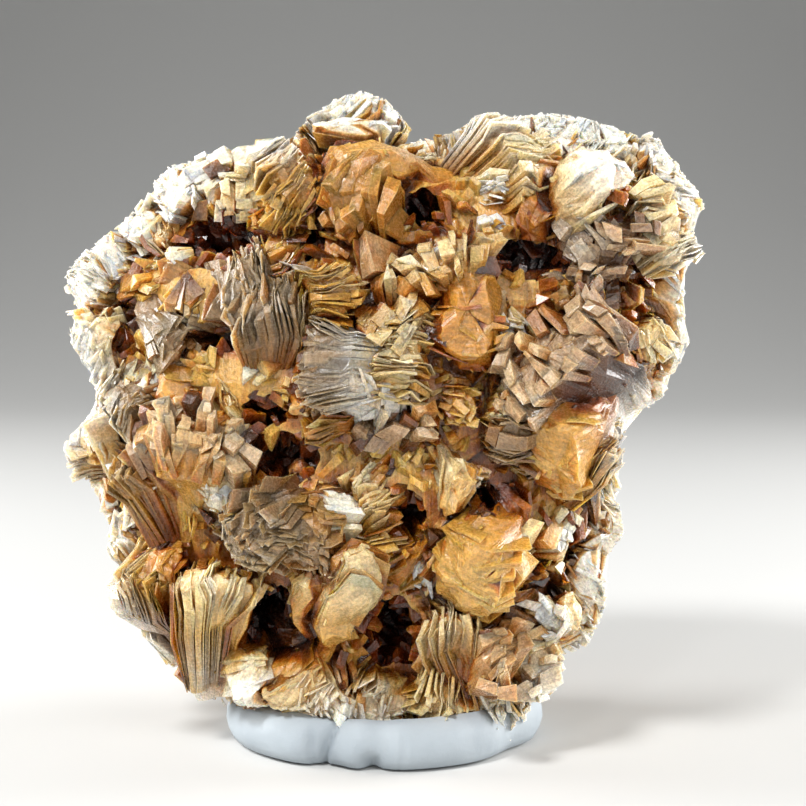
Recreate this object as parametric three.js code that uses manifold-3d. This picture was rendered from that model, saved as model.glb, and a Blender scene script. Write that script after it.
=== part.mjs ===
// Barite crystal cluster: sheaves of thin tabular crystals grown together into one rounded
// mass, standing in a pad of soft putty. Millimetres, +Z up, the showing side faces -Y, and
// the origin lies in the putty's flat underside, below the middle of the cluster.
import * as THREE from "three";
import Module from "manifold-3d";

const wasm = await Module();
wasm.setup();

// Driving dimensions, in millimetres.
const CLUSTER_FRONT = -18;
const CLUSTER_BACK = 18;
const PUTTY_WIDTH = 27.2;
const PUTTY_DEPTH = 27.6;
const PUTTY_HEIGHT = 4.8;
const PUTTY_CENTRE = [0.6, -1.2];
const BED_BOTTOM = 2.1;
const BED_GAP = 0.3;

// How a sheaf narrows to its root, how much its plates differ in length, and how much their
// ends slant.
const ROOT_WIDTH_SHARE = 0.42;
const LENGTH_SPREAD = 0.2;
const SLANT = 0.24;
const SHORTENING = 0.04;
const SHORTEST_SHARE = 0.2;

// A repeatable value from 0 to 1 for item number n of a series.
function scatter(n, series) {
  const wave = Math.sin(n * 12.9898 + series * 78.233) * 43758.5453;
  return wave - Math.floor(wave);
}

function solidFromRings(positions, triangles) {
  return new wasm.Manifold(new wasm.Mesh({
    numProp: 3,
    vertProperties: new Float32Array(positions),
    triVerts: new Uint32Array(triangles),
  }));
}

// A closed solid through rings of points, the first and last ring closed by a fan.
function loftedSolid(rings) {
  const positions = [];
  const triangles = [];
  const around = rings[0].length;
  for (const ring of rings) {
    for (const point of ring) positions.push(point.x, point.y, point.z);
  }
  for (let r = 0; r + 1 < rings.length; r += 1) {
    for (let i = 0; i < around; i += 1) {
      const a = r * around + i;
      const b = r * around + (i + 1) % around;
      const c = a + around;
      const d = b + around;
      triangles.push(a, b, d, a, d, c);
    }
  }
  for (const [ring, first, flip] of [[rings[0], 0, true],
    [rings[rings.length - 1], (rings.length - 1) * around, false]]) {
    const centre = new THREE.Vector3();
    for (const point of ring) centre.addScaledVector(point, 1 / around);
    const hub = positions.length / 3;
    positions.push(centre.x, centre.y, centre.z);
    for (let i = 0; i < around; i += 1) {
      const here = first + i;
      const next = first + (i + 1) % around;
      if (flip) triangles.push(hub, next, here);
      else triangles.push(hub, here, next);
    }
  }
  return solidFromRings(positions, triangles);
}

function ellipsoidSolid(centre, radii, around = 7, stacks = 3) {
  const rings = [];
  for (let s = 0; s <= stacks; s += 1) {
    const rise = -Math.PI / 2 + Math.PI * (s + 0.35) / (stacks + 0.7);
    const ring = [];
    for (let i = 0; i < around; i += 1) {
      const turn = 2 * Math.PI * i / around;
      ring.push(new THREE.Vector3(
        centre[0] + radii[0] * Math.cos(rise) * Math.cos(turn),
        centre[1] + radii[1] * Math.cos(rise) * Math.sin(turn),
        centre[2] + radii[2] * Math.sin(rise),
      ));
    }
    rings.push(ring);
  }
  return loftedSolid(rings);
}

// The massive body that the sheaves grow from: height, left, right, front and back of each
// level of its outline.
const BODY_LEVELS = [
  [1.2, -7, 8, -6.5, 8],
  [8, -15.5, 14.5, -9, 12],
  [17, -19.5, 16.5, -11.5, 14],
  [23, -21.8, 18, -12.5, 14.6],
  [33, -22, 22.6, -12.5, 14.6],
  [38, -21.6, 23.4, -12, 13.8],
  [42.5, -18.5, 23.4, -10, 12.2],
  [46, -14.5, 21.5, -7.5, 9.6],
  [48.6, -6.5, 17.5, -4, 6.4],
];
const BODY_SIDES = 14;
const BODY_SQUARENESS = 0.82;
const BODY_LUMP = 0.7;

// The body's outline at a height: a rounded box, fuller at the back, with low lumps.
function bodyPoint(turn, height) {
  const last = BODY_LEVELS.length - 1;
  let k = 0;
  while (k < last - 1 && BODY_LEVELS[k + 1][0] < height) k += 1;
  const low = BODY_LEVELS[k];
  const high = BODY_LEVELS[k + 1];
  const share = THREE.MathUtils.clamp((height - low[0]) / (high[0] - low[0]), 0, 1);
  const mix = low.map((value, i) => value + (high[i] - value) * share);
  const across = Math.cos(turn);
  const deep = Math.sin(turn);
  const middle = (mix[1] + mix[2]) / 2;
  const halfWidth = (mix[2] - mix[1]) / 2;
  const lump = BODY_LUMP * Math.sin(3 * turn + height * 0.45) * Math.cos(2 * turn - height * 0.3);
  const x = middle + (halfWidth + lump) * Math.sign(across) * Math.abs(across) ** BODY_SQUARENESS;
  const reach = deep < 0 ? -mix[3] : mix[4];
  const y = (reach + lump) * Math.sign(deep) * Math.abs(deep) ** BODY_SQUARENESS;
  return new THREE.Vector3(x, y, height);
}

function massiveBody() {
  const rings = BODY_LEVELS.map(([height]) => {
    const ring = [];
    for (let i = 0; i < BODY_SIDES; i += 1) ring.push(bodyPoint(2 * Math.PI * i / BODY_SIDES, height));
    return ring;
  });
  return loftedSolid(rings);
}

// The cluster's outline from the front, as x and height, clockwise from the left point.
const GROWTH_OUTLINE = [
  [-27.6, 23.4], [-25.5, 26], [-23.2, 28.5], [-23.4, 31], [-24.8, 33.4], [-26.4, 35.6],
  [-26.6, 38.2], [-24.9, 40.4], [-22.4, 42.4], [-20.2, 44.2], [-18.8, 46.4], [-17.4, 48],
  [-14.8, 49.3], [-11, 49.8], [-7.4, 50.2], [-5.8, 51.8], [-4, 53.6], [-1.4, 54.5],
  [1, 53.6], [2.6, 51.6], [3.6, 50.8], [6, 50.8], [8.6, 52.2], [12.4, 52.7], [16.1, 52.5],
  [19.4, 51.6], [22, 50.6], [23.2, 51.4], [24.2, 49.5], [26.2, 47.4], [27.4, 44.7],
  [26.4, 43.2], [27, 41.2], [25.4, 38.5], [25.6, 35.2], [26.4, 33.1], [25.4, 30.8],
  [23.4, 28.6], [20.8, 27], [20.4, 24.2], [20.7, 21], [20.9, 17.5], [19.4, 15.3],
  [19.2, 10.6], [18, 7.4], [14.6, 5.2], [12.8, 2.6], [10.3, 0], [-10, 0], [-12.8, 2.4],
  [-15.8, 4.2], [-17.8, 6.6], [-20, 9.8], [-22, 12.3], [-22.8, 17.5], [-24.4, 19.8],
  [-26.8, 21.2],
];

function insideOutline(x, z) {
  let inside = false;
  GROWTH_OUTLINE.forEach(([ax, az], i) => {
    const [bx, bz] = GROWTH_OUTLINE[(i + 1) % GROWTH_OUTLINE.length];
    if ((az > z) !== (bz > z) && x < ax + (z - az) * (bx - ax) / (bz - az)) inside = !inside;
  });
  return inside;
}

// A crystal's corner, drawn back along its own edge until it is within the growth.
function withinGrowth(foot, corner) {
  const place = corner.clone();
  for (let share = 1; share > SHORTEST_SHARE; share -= SHORTENING) {
    place.copy(foot).lerp(corner, share);
    const deepEnough = place.y > CLUSTER_FRONT && place.y < CLUSTER_BACK;
    if (deepEnough && insideOutline(place.x, place.z)) return place;
  }
  return place;
}

// Hollows that open between the sheaves: centre and half sizes.
const HOLLOWS = {
  under_the_upper_ledge: [[-12.5, -10, 41.5], [4.2, 7, 2.8]],
  left_of_the_split_wedge: [[-5, -12, 42], [1.5, 5, 2]],
  beside_the_crown: [[3.5, -10, 44], [2.3, 6, 2.1]],
  under_the_white_log: [[12, -12, 40.5], [3.8, 6, 1.8]],
  heart_of_the_nest: [[19, -14, 44], [1.7, 5, 1.7]],
  behind_the_grey_wedge: [[-12.5, -12, 34.5], [2.7, 5, 1.8]],
  left_edge_pocket: [[-20, -9.5, 33.5], [1.4, 4, 2]],
  beside_the_rosette: [[-8.5, -14, 28.5], [2.3, 5, 1.9]],
  under_the_tongue: [[-7.5, -12, 24.5], [3, 4, 2.2]],
  heart_of_the_bowl: [[2.5, -13, 20], [1.8, 5, 2.4]],
  dark_pit: [[8.5, -12, 21.5], [1.5, 5, 1.3]],
  great_lower_hollow: [[1, -10, 10.5], [3.2, 7, 3.5]],
  left_lower_hollow: [[-8, -9, 11], [2.7, 5, 3.6]],
};

function hollowSolids() {
  return Object.values(HOLLOWS).map(([centre, halfSizes]) => ellipsoidSolid(centre, halfSizes));
}

// Directions of a sheaf: out along its growth, face across the stack of plates, and across
// along a plate's width. With roll 0 the plates show their edges to the front, with 90
// their faces.
function sheafAxes(root, tip, roll, towards) {
  const out = tip.clone().sub(root).normalize();
  const facing = towards.clone().addScaledVector(out, -towards.dot(out)).normalize();
  const side = out.clone().cross(facing);
  const turn = THREE.MathUtils.degToRad(roll);
  const face = side.multiplyScalar(Math.cos(turn)).addScaledVector(facing, Math.sin(turn));
  const across = face.clone().cross(out);
  return { out, face, across };
}

// One sheaf: a fan of plates grown together, with a stepped rim where the plates end. Its
// outline runs over the fan, and its width grows from the root to the rim.
function sheafSolid(root, tip, roll, width, stack, spread, plates, series, towards) {
  const { out, face, across } = sheafAxes(root, tip, roll, towards);
  const length = root.distanceTo(tip);
  const fan = THREE.MathUtils.degToRad(spread);
  const outline = [[0, 0]];
  for (let plate = 0; plate < plates; plate += 1) {
    const middle = Math.abs((plate + 0.5) / plates - 0.5);
    const shorter = LENGTH_SPREAD * (middle + scatter(plate, series));
    outline.push([plate, 1 - shorter], [plate + 1, 1 - shorter]);
  }
  outline.push([plates, 0]);
  const flat = outline.map(([edge, share]) => {
    const place = edge / plates - 0.5;
    const angle = place * fan;
    return new THREE.Vector2(share * length * Math.cos(angle),
      place * stack + share * length * Math.sin(angle));
  });
  const positions = [];
  for (const side of [-1, 1]) {
    flat.forEach((place, corner) => {
      const slant = outline[corner][1] > 0 ? side * SLANT * (scatter(corner >> 1, series + 0.5) - 0.5) : 0;
      const reach = place.x * (1 + slant);
      const half = (ROOT_WIDTH_SHARE + (1 - ROOT_WIDTH_SHARE) * reach / length) * width / 2;
      const foot = root.clone()
        .addScaledVector(face, (outline[corner][0] / plates - 0.5) * stack)
        .addScaledVector(across, side * ROOT_WIDTH_SHARE * width / 2);
      const point = root.clone()
        .addScaledVector(out, reach)
        .addScaledVector(face, place.y)
        .addScaledVector(across, side * half);
      const kept = withinGrowth(foot, point);
      positions.push(kept.x, kept.y, kept.z);
    });
  }
  const count = outline.length;
  const triangles = [];
  for (const [a, b, c] of THREE.ShapeUtils.triangulateShape(flat, [])) {
    triangles.push(a, b, c, a + count, c + count, b + count);
  }
  for (let i = 0; i < count; i += 1) {
    const j = (i + 1) % count;
    triangles.push(i, j + count, j, i, i + count, j + count);
  }
  return solidFromRings(positions, triangles);
}

const FRONT = new THREE.Vector3(0, -1, 0);

// The sheaves of the showing side. Each has its root, its tip, its roll in degrees, its
// width and stack thickness, the angle it fans over and its number of plates.
const SHEAVES = {
  top_knob: [[-1.5, 1, 47], [-2, -2, 54.3], 5, 8, 3.4, 62, 4],
  knob_plate: [[-2.5, -3, 48.5], [-2, -7, 51.5], 75, 6.5, 1.2, 16, 2],
  yellow_band: [[7, -5, 46.5], [-4.5, -9.5, 48], 70, 4, 2.4, 16, 2],
  split_wedge: [[1, -7, 41.5], [-2, -13, 47.5], 38, 4.6, 1.2, 42, 4],
  rim_white_low: [[-20, -1, 38], [-26, -5, 37.5], 25, 6, 3.4, 40, 2],
  rim_white_mid: [[-19, 0, 40], [-23.5, -5, 39.5], 40, 6, 2.4, 34, 2],
  rim_white_high: [[-16, 0, 42], [-20.5, -5, 43], 25, 5, 2.2, 26, 2],
  brown_rim_blade: [[-20.5, 7, 37], [-26, 4, 40.5], 60, 4.5, 0.9, 14, 2],
  ledge_left: [[-13.5, -1, 44], [-17.5, -6, 46.5], 30, 6, 2.6, 34, 2],
  ledge_mid: [[-12.5, 1, 45], [-13, -9, 47], 80, 5.2, 3.2, 22, 2],
  ledge_right: [[-10, 1, 45.5], [-10, -10, 47.5], 80, 5.2, 3.2, 26, 2],
  golden_boss: [[-7, -3, 46], [-7, -12, 46.5], 45, 4.2, 2.8, 40, 2],
  hanging_fan: [[-6, -5, 47], [-7, -11, 41.5], 15, 4.4, 1.8, 44, 3],
  left_crust_upper: [[-18.5, -1, 27.5], [-23.5, -8, 35.5], 72, 7, 3.4, 28, 2],
  left_crust_lower: [[-16.5, -3, 21], [-20, -10, 31.5], 66, 6, 3, 22, 2],
  grey_wedge: [[-18, -6, 37], [-15, -12, 31.5], 74, 5, 1.6, 16, 2],
  block_sheaf: [[-14, -7, 18], [-14, -15, 29.5], 8, 5.6, 2.2, 36, 4],
  left_point: [[-20, -1, 23], [-27.3, -2, 23.3], 20, 4.5, 2.6, 30, 2],
  striated_band: [[-16.5, -6, 15], [-19.5, -10, 26], 0, 4.6, 2.6, 14, 2],
  mantle: [[-6.5, -7, 35], [-12.5, -13, 40], 28, 6, 3.6, 30, 2],
  upright_fibres: [[-8, -9, 30.5], [-8.5, -15, 39], 0, 5.4, 3.4, 24, 3],
  small_gold_fan: [[-6.5, -11, 36], [-1.5, -16, 38.5], 12, 4, 1.5, 38, 3],
  rosette_left: [[2.5, -13, 32.5], [-6.5, -16.5, 32], 0, 5.4, 3.4, 30, 4],
  rosette_right: [[0.5, -10, 32.5], [3, -16.5, 33.5], 30, 5, 3.2, 50, 4],
  rosette_up: [[0.5, -9, 31.5], [1.5, -16, 37], 25, 5, 2.6, 36, 2],
  rosette_down: [[0, -9, 33], [1, -16.5, 28.5], 25, 4.6, 2.4, 34, 2],
  smile_plates: [[1.5, -9, 29], [1.5, -15, 25.5], 35, 6, 2.2, 36, 2],
  grey_gold_plate: [[3.5, -9, 26.5], [7.5, -15, 22], 68, 5, 1.6, 14, 2],
  gold_fan_low: [[-2.5, -9, 15.5], [0, -14, 24.5], 35, 3.6, 1.6, 26, 2],
  brown_tongue: [[-2, -9, 22.5], [-11.5, -16, 18.5], 62, 7.4, 2.6, 26, 2],
  tongue_lobe: [[-4, -9, 22.5], [-6, -16.5, 17], 62, 7, 2.4, 30, 2],
  cream_slab: [[-4.5, -9, 8], [-1, -16.5, 19], 60, 4.6, 2, 22, 2],
  left_low_arc: [[-15.5, -5, 8.5], [-20.5, -10, 16], 40, 5.4, 2.6, 26, 2],
  cream_fan: [[-14, -4, 2.5], [-12.5, -13, 16.5], 4, 4.6, 2, 27, 3],
  foot_left: [[-9, -5, 9], [-10.5, -11, 4.5], 50, 5.6, 2.8, 40, 2],
  foot_mid: [[-6, -5, 9], [-5.5, -12, 4.5], 50, 6.4, 3, 42, 2],
  bowl_gold: [[2, -5, 19], [2.5, -14, 16], 55, 5.4, 2.2, 40, 2],
  lens_gold: [[11, -7, 20], [7, -16.5, 15], 66, 7.6, 3.4, 44, 2],
  lens_ridge: [[8.5, -8, 11.5], [11.5, -14.5, 19], 15, 4, 1.6, 22, 2],
  low_striated: [[8.5, -7, 1.5], [4.5, -13, 14], 6, 5.6, 3, 18, 3],
  low_block: [[9, -6, 3.5], [10, -14.5, 11.5], 72, 4.4, 2.6, 22, 2],
  low_block_right: [[10, -3, 4], [13.5, -11, 10], 40, 5, 2.8, 32, 2],
  low_foot: [[9, -2, 6.5], [9, -10, 3], 40, 6, 3.2, 36, 2],
  smooth_amber: [[18, -6, 29], [13.5, -14.5, 23.5], 62, 6.8, 3.2, 34, 2],
  smooth_amber_edge: [[14.5, -6, 20], [18, -12, 27], 15, 5, 2.6, 22, 2],
  side_white_high: [[16, 1, 23.5], [19.8, -5, 25.5], 45, 7, 4.2, 44, 2],
  side_white_mid: [[16.5, 1, 17.5], [20.3, -5, 17.5], 45, 6, 4, 40, 2],
  side_white_low: [[15, 1, 12.5], [18.8, -6, 12.5], 45, 7, 4.6, 50, 2],
  side_white_foot: [[14, 1, 10.5], [18, -5, 9], 45, 6, 3.4, 40, 2],
  big_fan: [[22.5, -3, 28.5], [11, -17, 33.5], 24, 6.4, 3, 40, 5],
  big_fan_low: [[22, -3, 28], [9, -14, 28], 20, 6, 3, 26, 3],
  big_fan_top: [[22, -3, 29], [15, -13, 36], 35, 5, 2.4, 26, 2],
  behind_fan_a: [[15, -5, 33], [11, -12, 38.5], 35, 4, 2, 30, 2],
  crown_fan: [[7, -10, 36], [5, -15.5, 42], 4, 3.6, 1.4, 74, 4],
  amber_dome: [[7, -8, 35], [7, -16, 37], 80, 6.4, 3.6, 50, 2],
  ridge_right: [[6, -3, 44.5], [13.5, -9, 49.5], 16, 6.4, 4.4, 26, 3],
  crest_white_mid: [[14.5, 2, 46], [15, -4, 51.5], 20, 8, 5.4, 66, 3],
  crest_white_left: [[9, 2, 46], [8.5, -3, 51], 20, 8, 4.2, 48, 3],
  crest_white_right: [[18.5, 2, 46], [19, -4, 50.5], 20, 7, 4.2, 50, 2],
  white_log: [[12.5, -6, 41.5], [18.5, -13.5, 48], 28, 5.6, 4.4, 6, 2],
  brown_log_foot: [[15.5, -3, 45.5], [11.5, -11, 43], 60, 5, 3, 22, 2],
  nest_left: [[18, -4, 41.5], [15, -13, 42], 40, 4.6, 2.6, 30, 2],
  nest_low: [[19, -3, 42], [18.5, -14, 39.5], 90, 6.4, 3, 30, 2],
  nest_right: [[22, -3, 42], [22.5, -12, 42], 135, 5.4, 3, 26, 2],
  nest_under: [[18.5, -2, 41], [18, -11, 38.5], 75, 6, 2.6, 26, 2],
  edge_spike: [[21.5, 0, 45], [23.2, -3, 50], 30, 3.4, 2.2, 22, 2],
  edge_mid: [[22, 0, 44], [27.2, -4, 44.8], 45, 5, 3.6, 36, 2],
  edge_top: [[21.5, 2, 45.5], [25.5, -3, 48], 30, 6, 4.2, 48, 2],
  edge_cream: [[21.5, 0, 37.5], [25.6, -5, 37], 55, 5.4, 4.2, 40, 2],
  edge_low: [[22, -2, 34.5], [26.2, -5, 33], 40, 4.4, 2.6, 30, 2],
};

function showingSheaves() {
  const solids = [];
  Object.values(SHEAVES).forEach((sheaf, number) => {
    const [root, tip, roll, width, stack, spread, plates] = sheaf;
    const from = new THREE.Vector3(...root);
    const to = new THREE.Vector3(...tip);
    solids.push(sheafSolid(from, to, roll, width, stack, spread, plates, number, FRONT));
  });
  return solids;
}

// The sides and the back carry rows of larger sheaves that stand out from the body.
const BACK_ROWS = [
  { height: 6, count: 4, from: 25, to: 155, reach: 3.2 },
  { height: 14, count: 5, from: 0, to: 180, reach: 3.8 },
  { height: 22, count: 5, from: 12, to: 168, reach: 4 },
  { height: 30, count: 6, from: -4, to: 184, reach: 4 },
  { height: 38, count: 6, from: 8, to: 172, reach: 4.2 },
  { height: 45, count: 5, from: 4, to: 176, reach: 4.4 },
  { height: 48.6, count: 2, from: 55, to: 125, reach: 4.2 },
];
const BACK_ROOT_DEPTH = 4.2;
const BACK_PLATES = 3;

// The direction straight out of the body at a place on it.
function bodyNormal(turn, height) {
  const step = 0.02;
  const along = bodyPoint(turn + step, height).sub(bodyPoint(turn - step, height));
  const up = bodyPoint(turn, height + 1).sub(bodyPoint(turn, height - 1));
  return along.cross(up).normalize();
}

function backSheaves() {
  const solids = [];
  BACK_ROWS.forEach((row, rowNumber) => {
    for (let i = 0; i < row.count; i += 1) {
      const series = 200 + rowNumber * 20 + i;
      const share = row.count === 1 ? 0.5 : i / (row.count - 1);
      const turn = THREE.MathUtils.degToRad(row.from + (row.to - row.from) * share
        + 8 * (scatter(series, 1) - 0.5));
      const height = row.height + 2.4 * (scatter(series, 2) - 0.5);
      const normal = bodyNormal(turn, height);
      const lean = new THREE.Vector3(scatter(series, 3) - 0.5, scatter(series, 4) - 0.5,
        scatter(series, 5) - 0.35).multiplyScalar(1.1);
      const out = normal.clone().add(lean).normalize();
      const foot = bodyPoint(turn, height);
      const root = foot.clone().addScaledVector(out, -BACK_ROOT_DEPTH);
      const tip = foot.clone().addScaledVector(out, row.reach * (0.75 + 0.5 * scatter(series, 6)));
      const width = 6 + 3 * scatter(series, 7);
      const stack = 2.6 + 1.6 * scatter(series, 8);
      const spread = 30 + 30 * scatter(series, 9);
      const roll = 180 * scatter(series, 10);
      const towards = new THREE.Vector3(0, 0, 1);
      solids.push(sheafSolid(root, tip, roll, width, stack, spread, BACK_PLATES, series, towards));
    }
  });
  return solids;
}

// The bowl-shaped bed where the cluster's foot sits in the putty, and the overhang outside
// the pad, as radius and height.
const BED_PROFILE = [[7, 0], [12.6, 2.3], [14.6, 2.1], [17, 1.2], [24, 5], [32, 14]];
const BED_SIDES = 18;
const BED_TOP = 70;

function bedSolid(drop) {
  const rings = [];
  for (const [radius, height] of [...BED_PROFILE, [48, BED_TOP]]) {
    const ring = [];
    for (let i = 0; i < BED_SIDES; i += 1) {
      const turn = 2 * Math.PI * i / BED_SIDES;
      ring.push(new THREE.Vector3(PUTTY_CENTRE[0] + radius * Math.cos(turn),
        PUTTY_CENTRE[1] + radius * Math.sin(turn), BED_BOTTOM - drop + height));
    }
    rings.push(ring);
  }
  return loftedSolid(rings);
}

function clusterSolid() {
  const body = massiveBody().subtract(wasm.Manifold.union(hollowSolids()));
  const grown = wasm.Manifold.union([body, ...showingSheaves(), ...backSheaves()]);
  const shaped = grown.intersect(bedSolid(0));
  return shaped.decompose().reduce((best, piece) => (piece.volume() > best.volume() ? piece : best));
}

// The putty pad: a pressed round cake with finger lobes, flat underneath, as share of the
// radius and share of the height of each ring of its profile.
const PUTTY_PROFILE = [[0.9, 0], [0.985, 0.16], [1, 0.42], [0.965, 0.72], [0.86, 0.93], [0.7, 1]];
const PUTTY_SIDES = 36;
const PUTTY_LOBES = [
  { turn: 250, depth: 0.11, width: 8 },
  { turn: 270, depth: 0.05, width: 6 },
  { turn: 325, depth: 0.05, width: 12 },
  { turn: 20, depth: 0.06, width: 12 },
  { turn: 95, depth: 0.07, width: 10 },
  { turn: 165, depth: 0.05, width: 12 },
];

// How far the pad reaches at a turn, as a share of its half width: pressed in at each groove.
function puttyReach(turn) {
  let share = 1;
  for (const lobe of PUTTY_LOBES) {
    const away = ((turn - lobe.turn + 540) % 360) - 180;
    share -= lobe.depth * Math.exp(-((away / lobe.width) ** 2));
  }
  return share;
}

function puttySolid() {
  const rings = PUTTY_PROFILE.map(([radiusShare, heightShare]) => {
    const ring = [];
    for (let i = 0; i < PUTTY_SIDES; i += 1) {
      const turn = 2 * Math.PI * i / PUTTY_SIDES;
      const reach = puttyReach(360 * i / PUTTY_SIDES) * radiusShare;
      ring.push(new THREE.Vector3(
        PUTTY_CENTRE[0] + reach * PUTTY_WIDTH / 2 * Math.cos(turn),
        PUTTY_CENTRE[1] + reach * PUTTY_DEPTH / 2 * Math.sin(turn),
        PUTTY_HEIGHT * heightShare,
      ));
    }
    return ring;
  });
  return loftedSolid(rings).subtract(bedSolid(BED_GAP));
}

function geometryOf(solid) {
  const { vertProperties, triVerts } = solid.getMesh();
  const geometry = new THREE.BufferGeometry();
  geometry.setAttribute("position", new THREE.BufferAttribute(new Float32Array(vertProperties), 3));
  geometry.setIndex(new THREE.BufferAttribute(new Uint32Array(triVerts), 1));
  return geometry;
}

function namedMesh(name, solid, material) {
  const mesh = new THREE.Mesh(geometryOf(solid), material);
  mesh.name = name;
  return mesh;
}

const barite = new THREE.MeshStandardMaterial({ color: "#c9a46a", roughness: 0.45, metalness: 0 });
const putty = new THREE.MeshStandardMaterial({ color: "#c3ced6", roughness: 0.8, metalness: 0 });

const specimen = new THREE.Group();
specimen.add(namedMesh("barite_cluster", clusterSolid(), barite));
specimen.add(namedMesh("mounting_putty", puttySolid(), putty));

export default specimen;
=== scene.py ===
import math

import bpy
import numpy as np
from mathutils import Matrix, Vector, noise
from mathutils.bvhtree import BVHTree


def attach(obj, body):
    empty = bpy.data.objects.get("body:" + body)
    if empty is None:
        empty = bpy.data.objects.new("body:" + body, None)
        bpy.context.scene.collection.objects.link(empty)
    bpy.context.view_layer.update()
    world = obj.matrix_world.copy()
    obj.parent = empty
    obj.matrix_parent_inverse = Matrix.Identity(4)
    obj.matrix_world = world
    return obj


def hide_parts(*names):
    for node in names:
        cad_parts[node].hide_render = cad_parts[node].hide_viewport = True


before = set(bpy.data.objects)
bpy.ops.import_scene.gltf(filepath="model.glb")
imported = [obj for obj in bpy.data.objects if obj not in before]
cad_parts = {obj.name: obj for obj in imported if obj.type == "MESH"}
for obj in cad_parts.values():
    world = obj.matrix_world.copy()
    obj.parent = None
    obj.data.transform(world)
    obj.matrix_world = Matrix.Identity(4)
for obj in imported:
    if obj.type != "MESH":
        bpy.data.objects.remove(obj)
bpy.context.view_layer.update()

# Tables are in millimetres, as the specimen was measured; one factor turns them to metres.
MM = 0.001
# Every draw, and the noise that bends the crystals, start from one seed.
SEED = 41
random = np.random.default_rng(SEED)
noise.seed_set(SEED)


def linear(colour):
    """An sRGB hex colour as linear red, green and blue."""
    shares = [int(colour[i:i + 2], 16) / 255 for i in (1, 3, 5)]
    return np.array([s / 12.92 if s <= 0.04045 else ((s + 0.055) / 1.055) ** 2.4 for s in shares])


# Colours of barite and of what coats it, by the letter that the tables use.
MINERAL_COLOURS = {letter: linear(code) for letter, code in {
    "W": "#F8EFDE",  # opaque snow white, full of tiny cracks
    "C": "#E6CB98",  # cream
    "Y": "#D4A452",  # pale honey
    "G": "#C08632",  # gold
    "A": "#A46820",  # amber
    "O": "#8A4E17",  # orange brown, stained by iron
    "B": "#5F3818",  # brown
    # K, the umber of sheaf roots set in hollows, is dark to paint their shade as well as their
    # brown.
    "K": "#3A2418",  # umber, deep in the hollows
    "S": "#8F7556",  # grey-brown coating
    "P": "#CDAE88",  # pinkish grey, clear tips
    "T": "#B27E3C",  # tan
    "N": "#CDBA9E",  # light grey
}.items()}

# How each habit of growth looks, in millimetres: how far the grown-together body stops short of
# the tips, how ribbed and how rough its skin is, the spacing of its plates, how much they differ
# in length, how domed the rim is as a share of the length, how thick and how wide the body is
# between its outermost plates as shares, and the share of the plates that stand out at all.
# Thin plates also have the place where they leave the body as a share of the length, how much
# they are crumpled, the width at which they are broken across and how far the parts are apart.
# Blocks have a width, a depth at which they leave the body, a twist in degrees and how slanted
# their ends are.
HABITS = {
    "fine": dict(inset=1.2, ribs=0.1, rough=0.24, spacing=0.33, jitter=0.9, dome=0.12, body=0.98,
                 wide=0.93, kept=0.95, leave=0.3, crumple=0.55, broken=1.7, apart=0.22),
    "smooth": dict(inset=0.35, ribs=0.05, rough=0.34, spacing=0.6, jitter=0.4, dome=0.2, body=1,
                   wide=0.99, kept=0.4, leave=0.5, crumple=0.3, broken=4, apart=0.1),
    "crust": dict(inset=1.2, ribs=0.1, rough=0.45, spacing=0.38, jitter=1, dome=0.18, body=0.98,
                  wide=0.95, kept=0.85, leave=0.5, crumple=0.9, broken=0.9, apart=0.36),
    "fused": dict(inset=0.9, ribs=0.1, rough=0.5, spacing=0.42, jitter=0.9, dome=0.2, body=1,
                  wide=0.97, kept=0.8, leave=0.5, crumple=1, broken=1, apart=0.36),
    "blocky": dict(inset=2.1, ribs=0.1, rough=0.3, spacing=0.78, jitter=1.4, dome=0.13, body=0.97,
                   wide=0.93, kept=0.86, blade=1.25, begin=3.4, twist=10, slope=(0.0, 0.3)),
    "plates": dict(inset=1.4, ribs=0.08, rough=0.14, spacing=0.75, jitter=0.9, dome=0.1, body=0.92,
                   wide=0.95, kept=1, blade=3.6, begin=6, twist=3, slope=(0.05, 0.4)),
}

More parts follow.
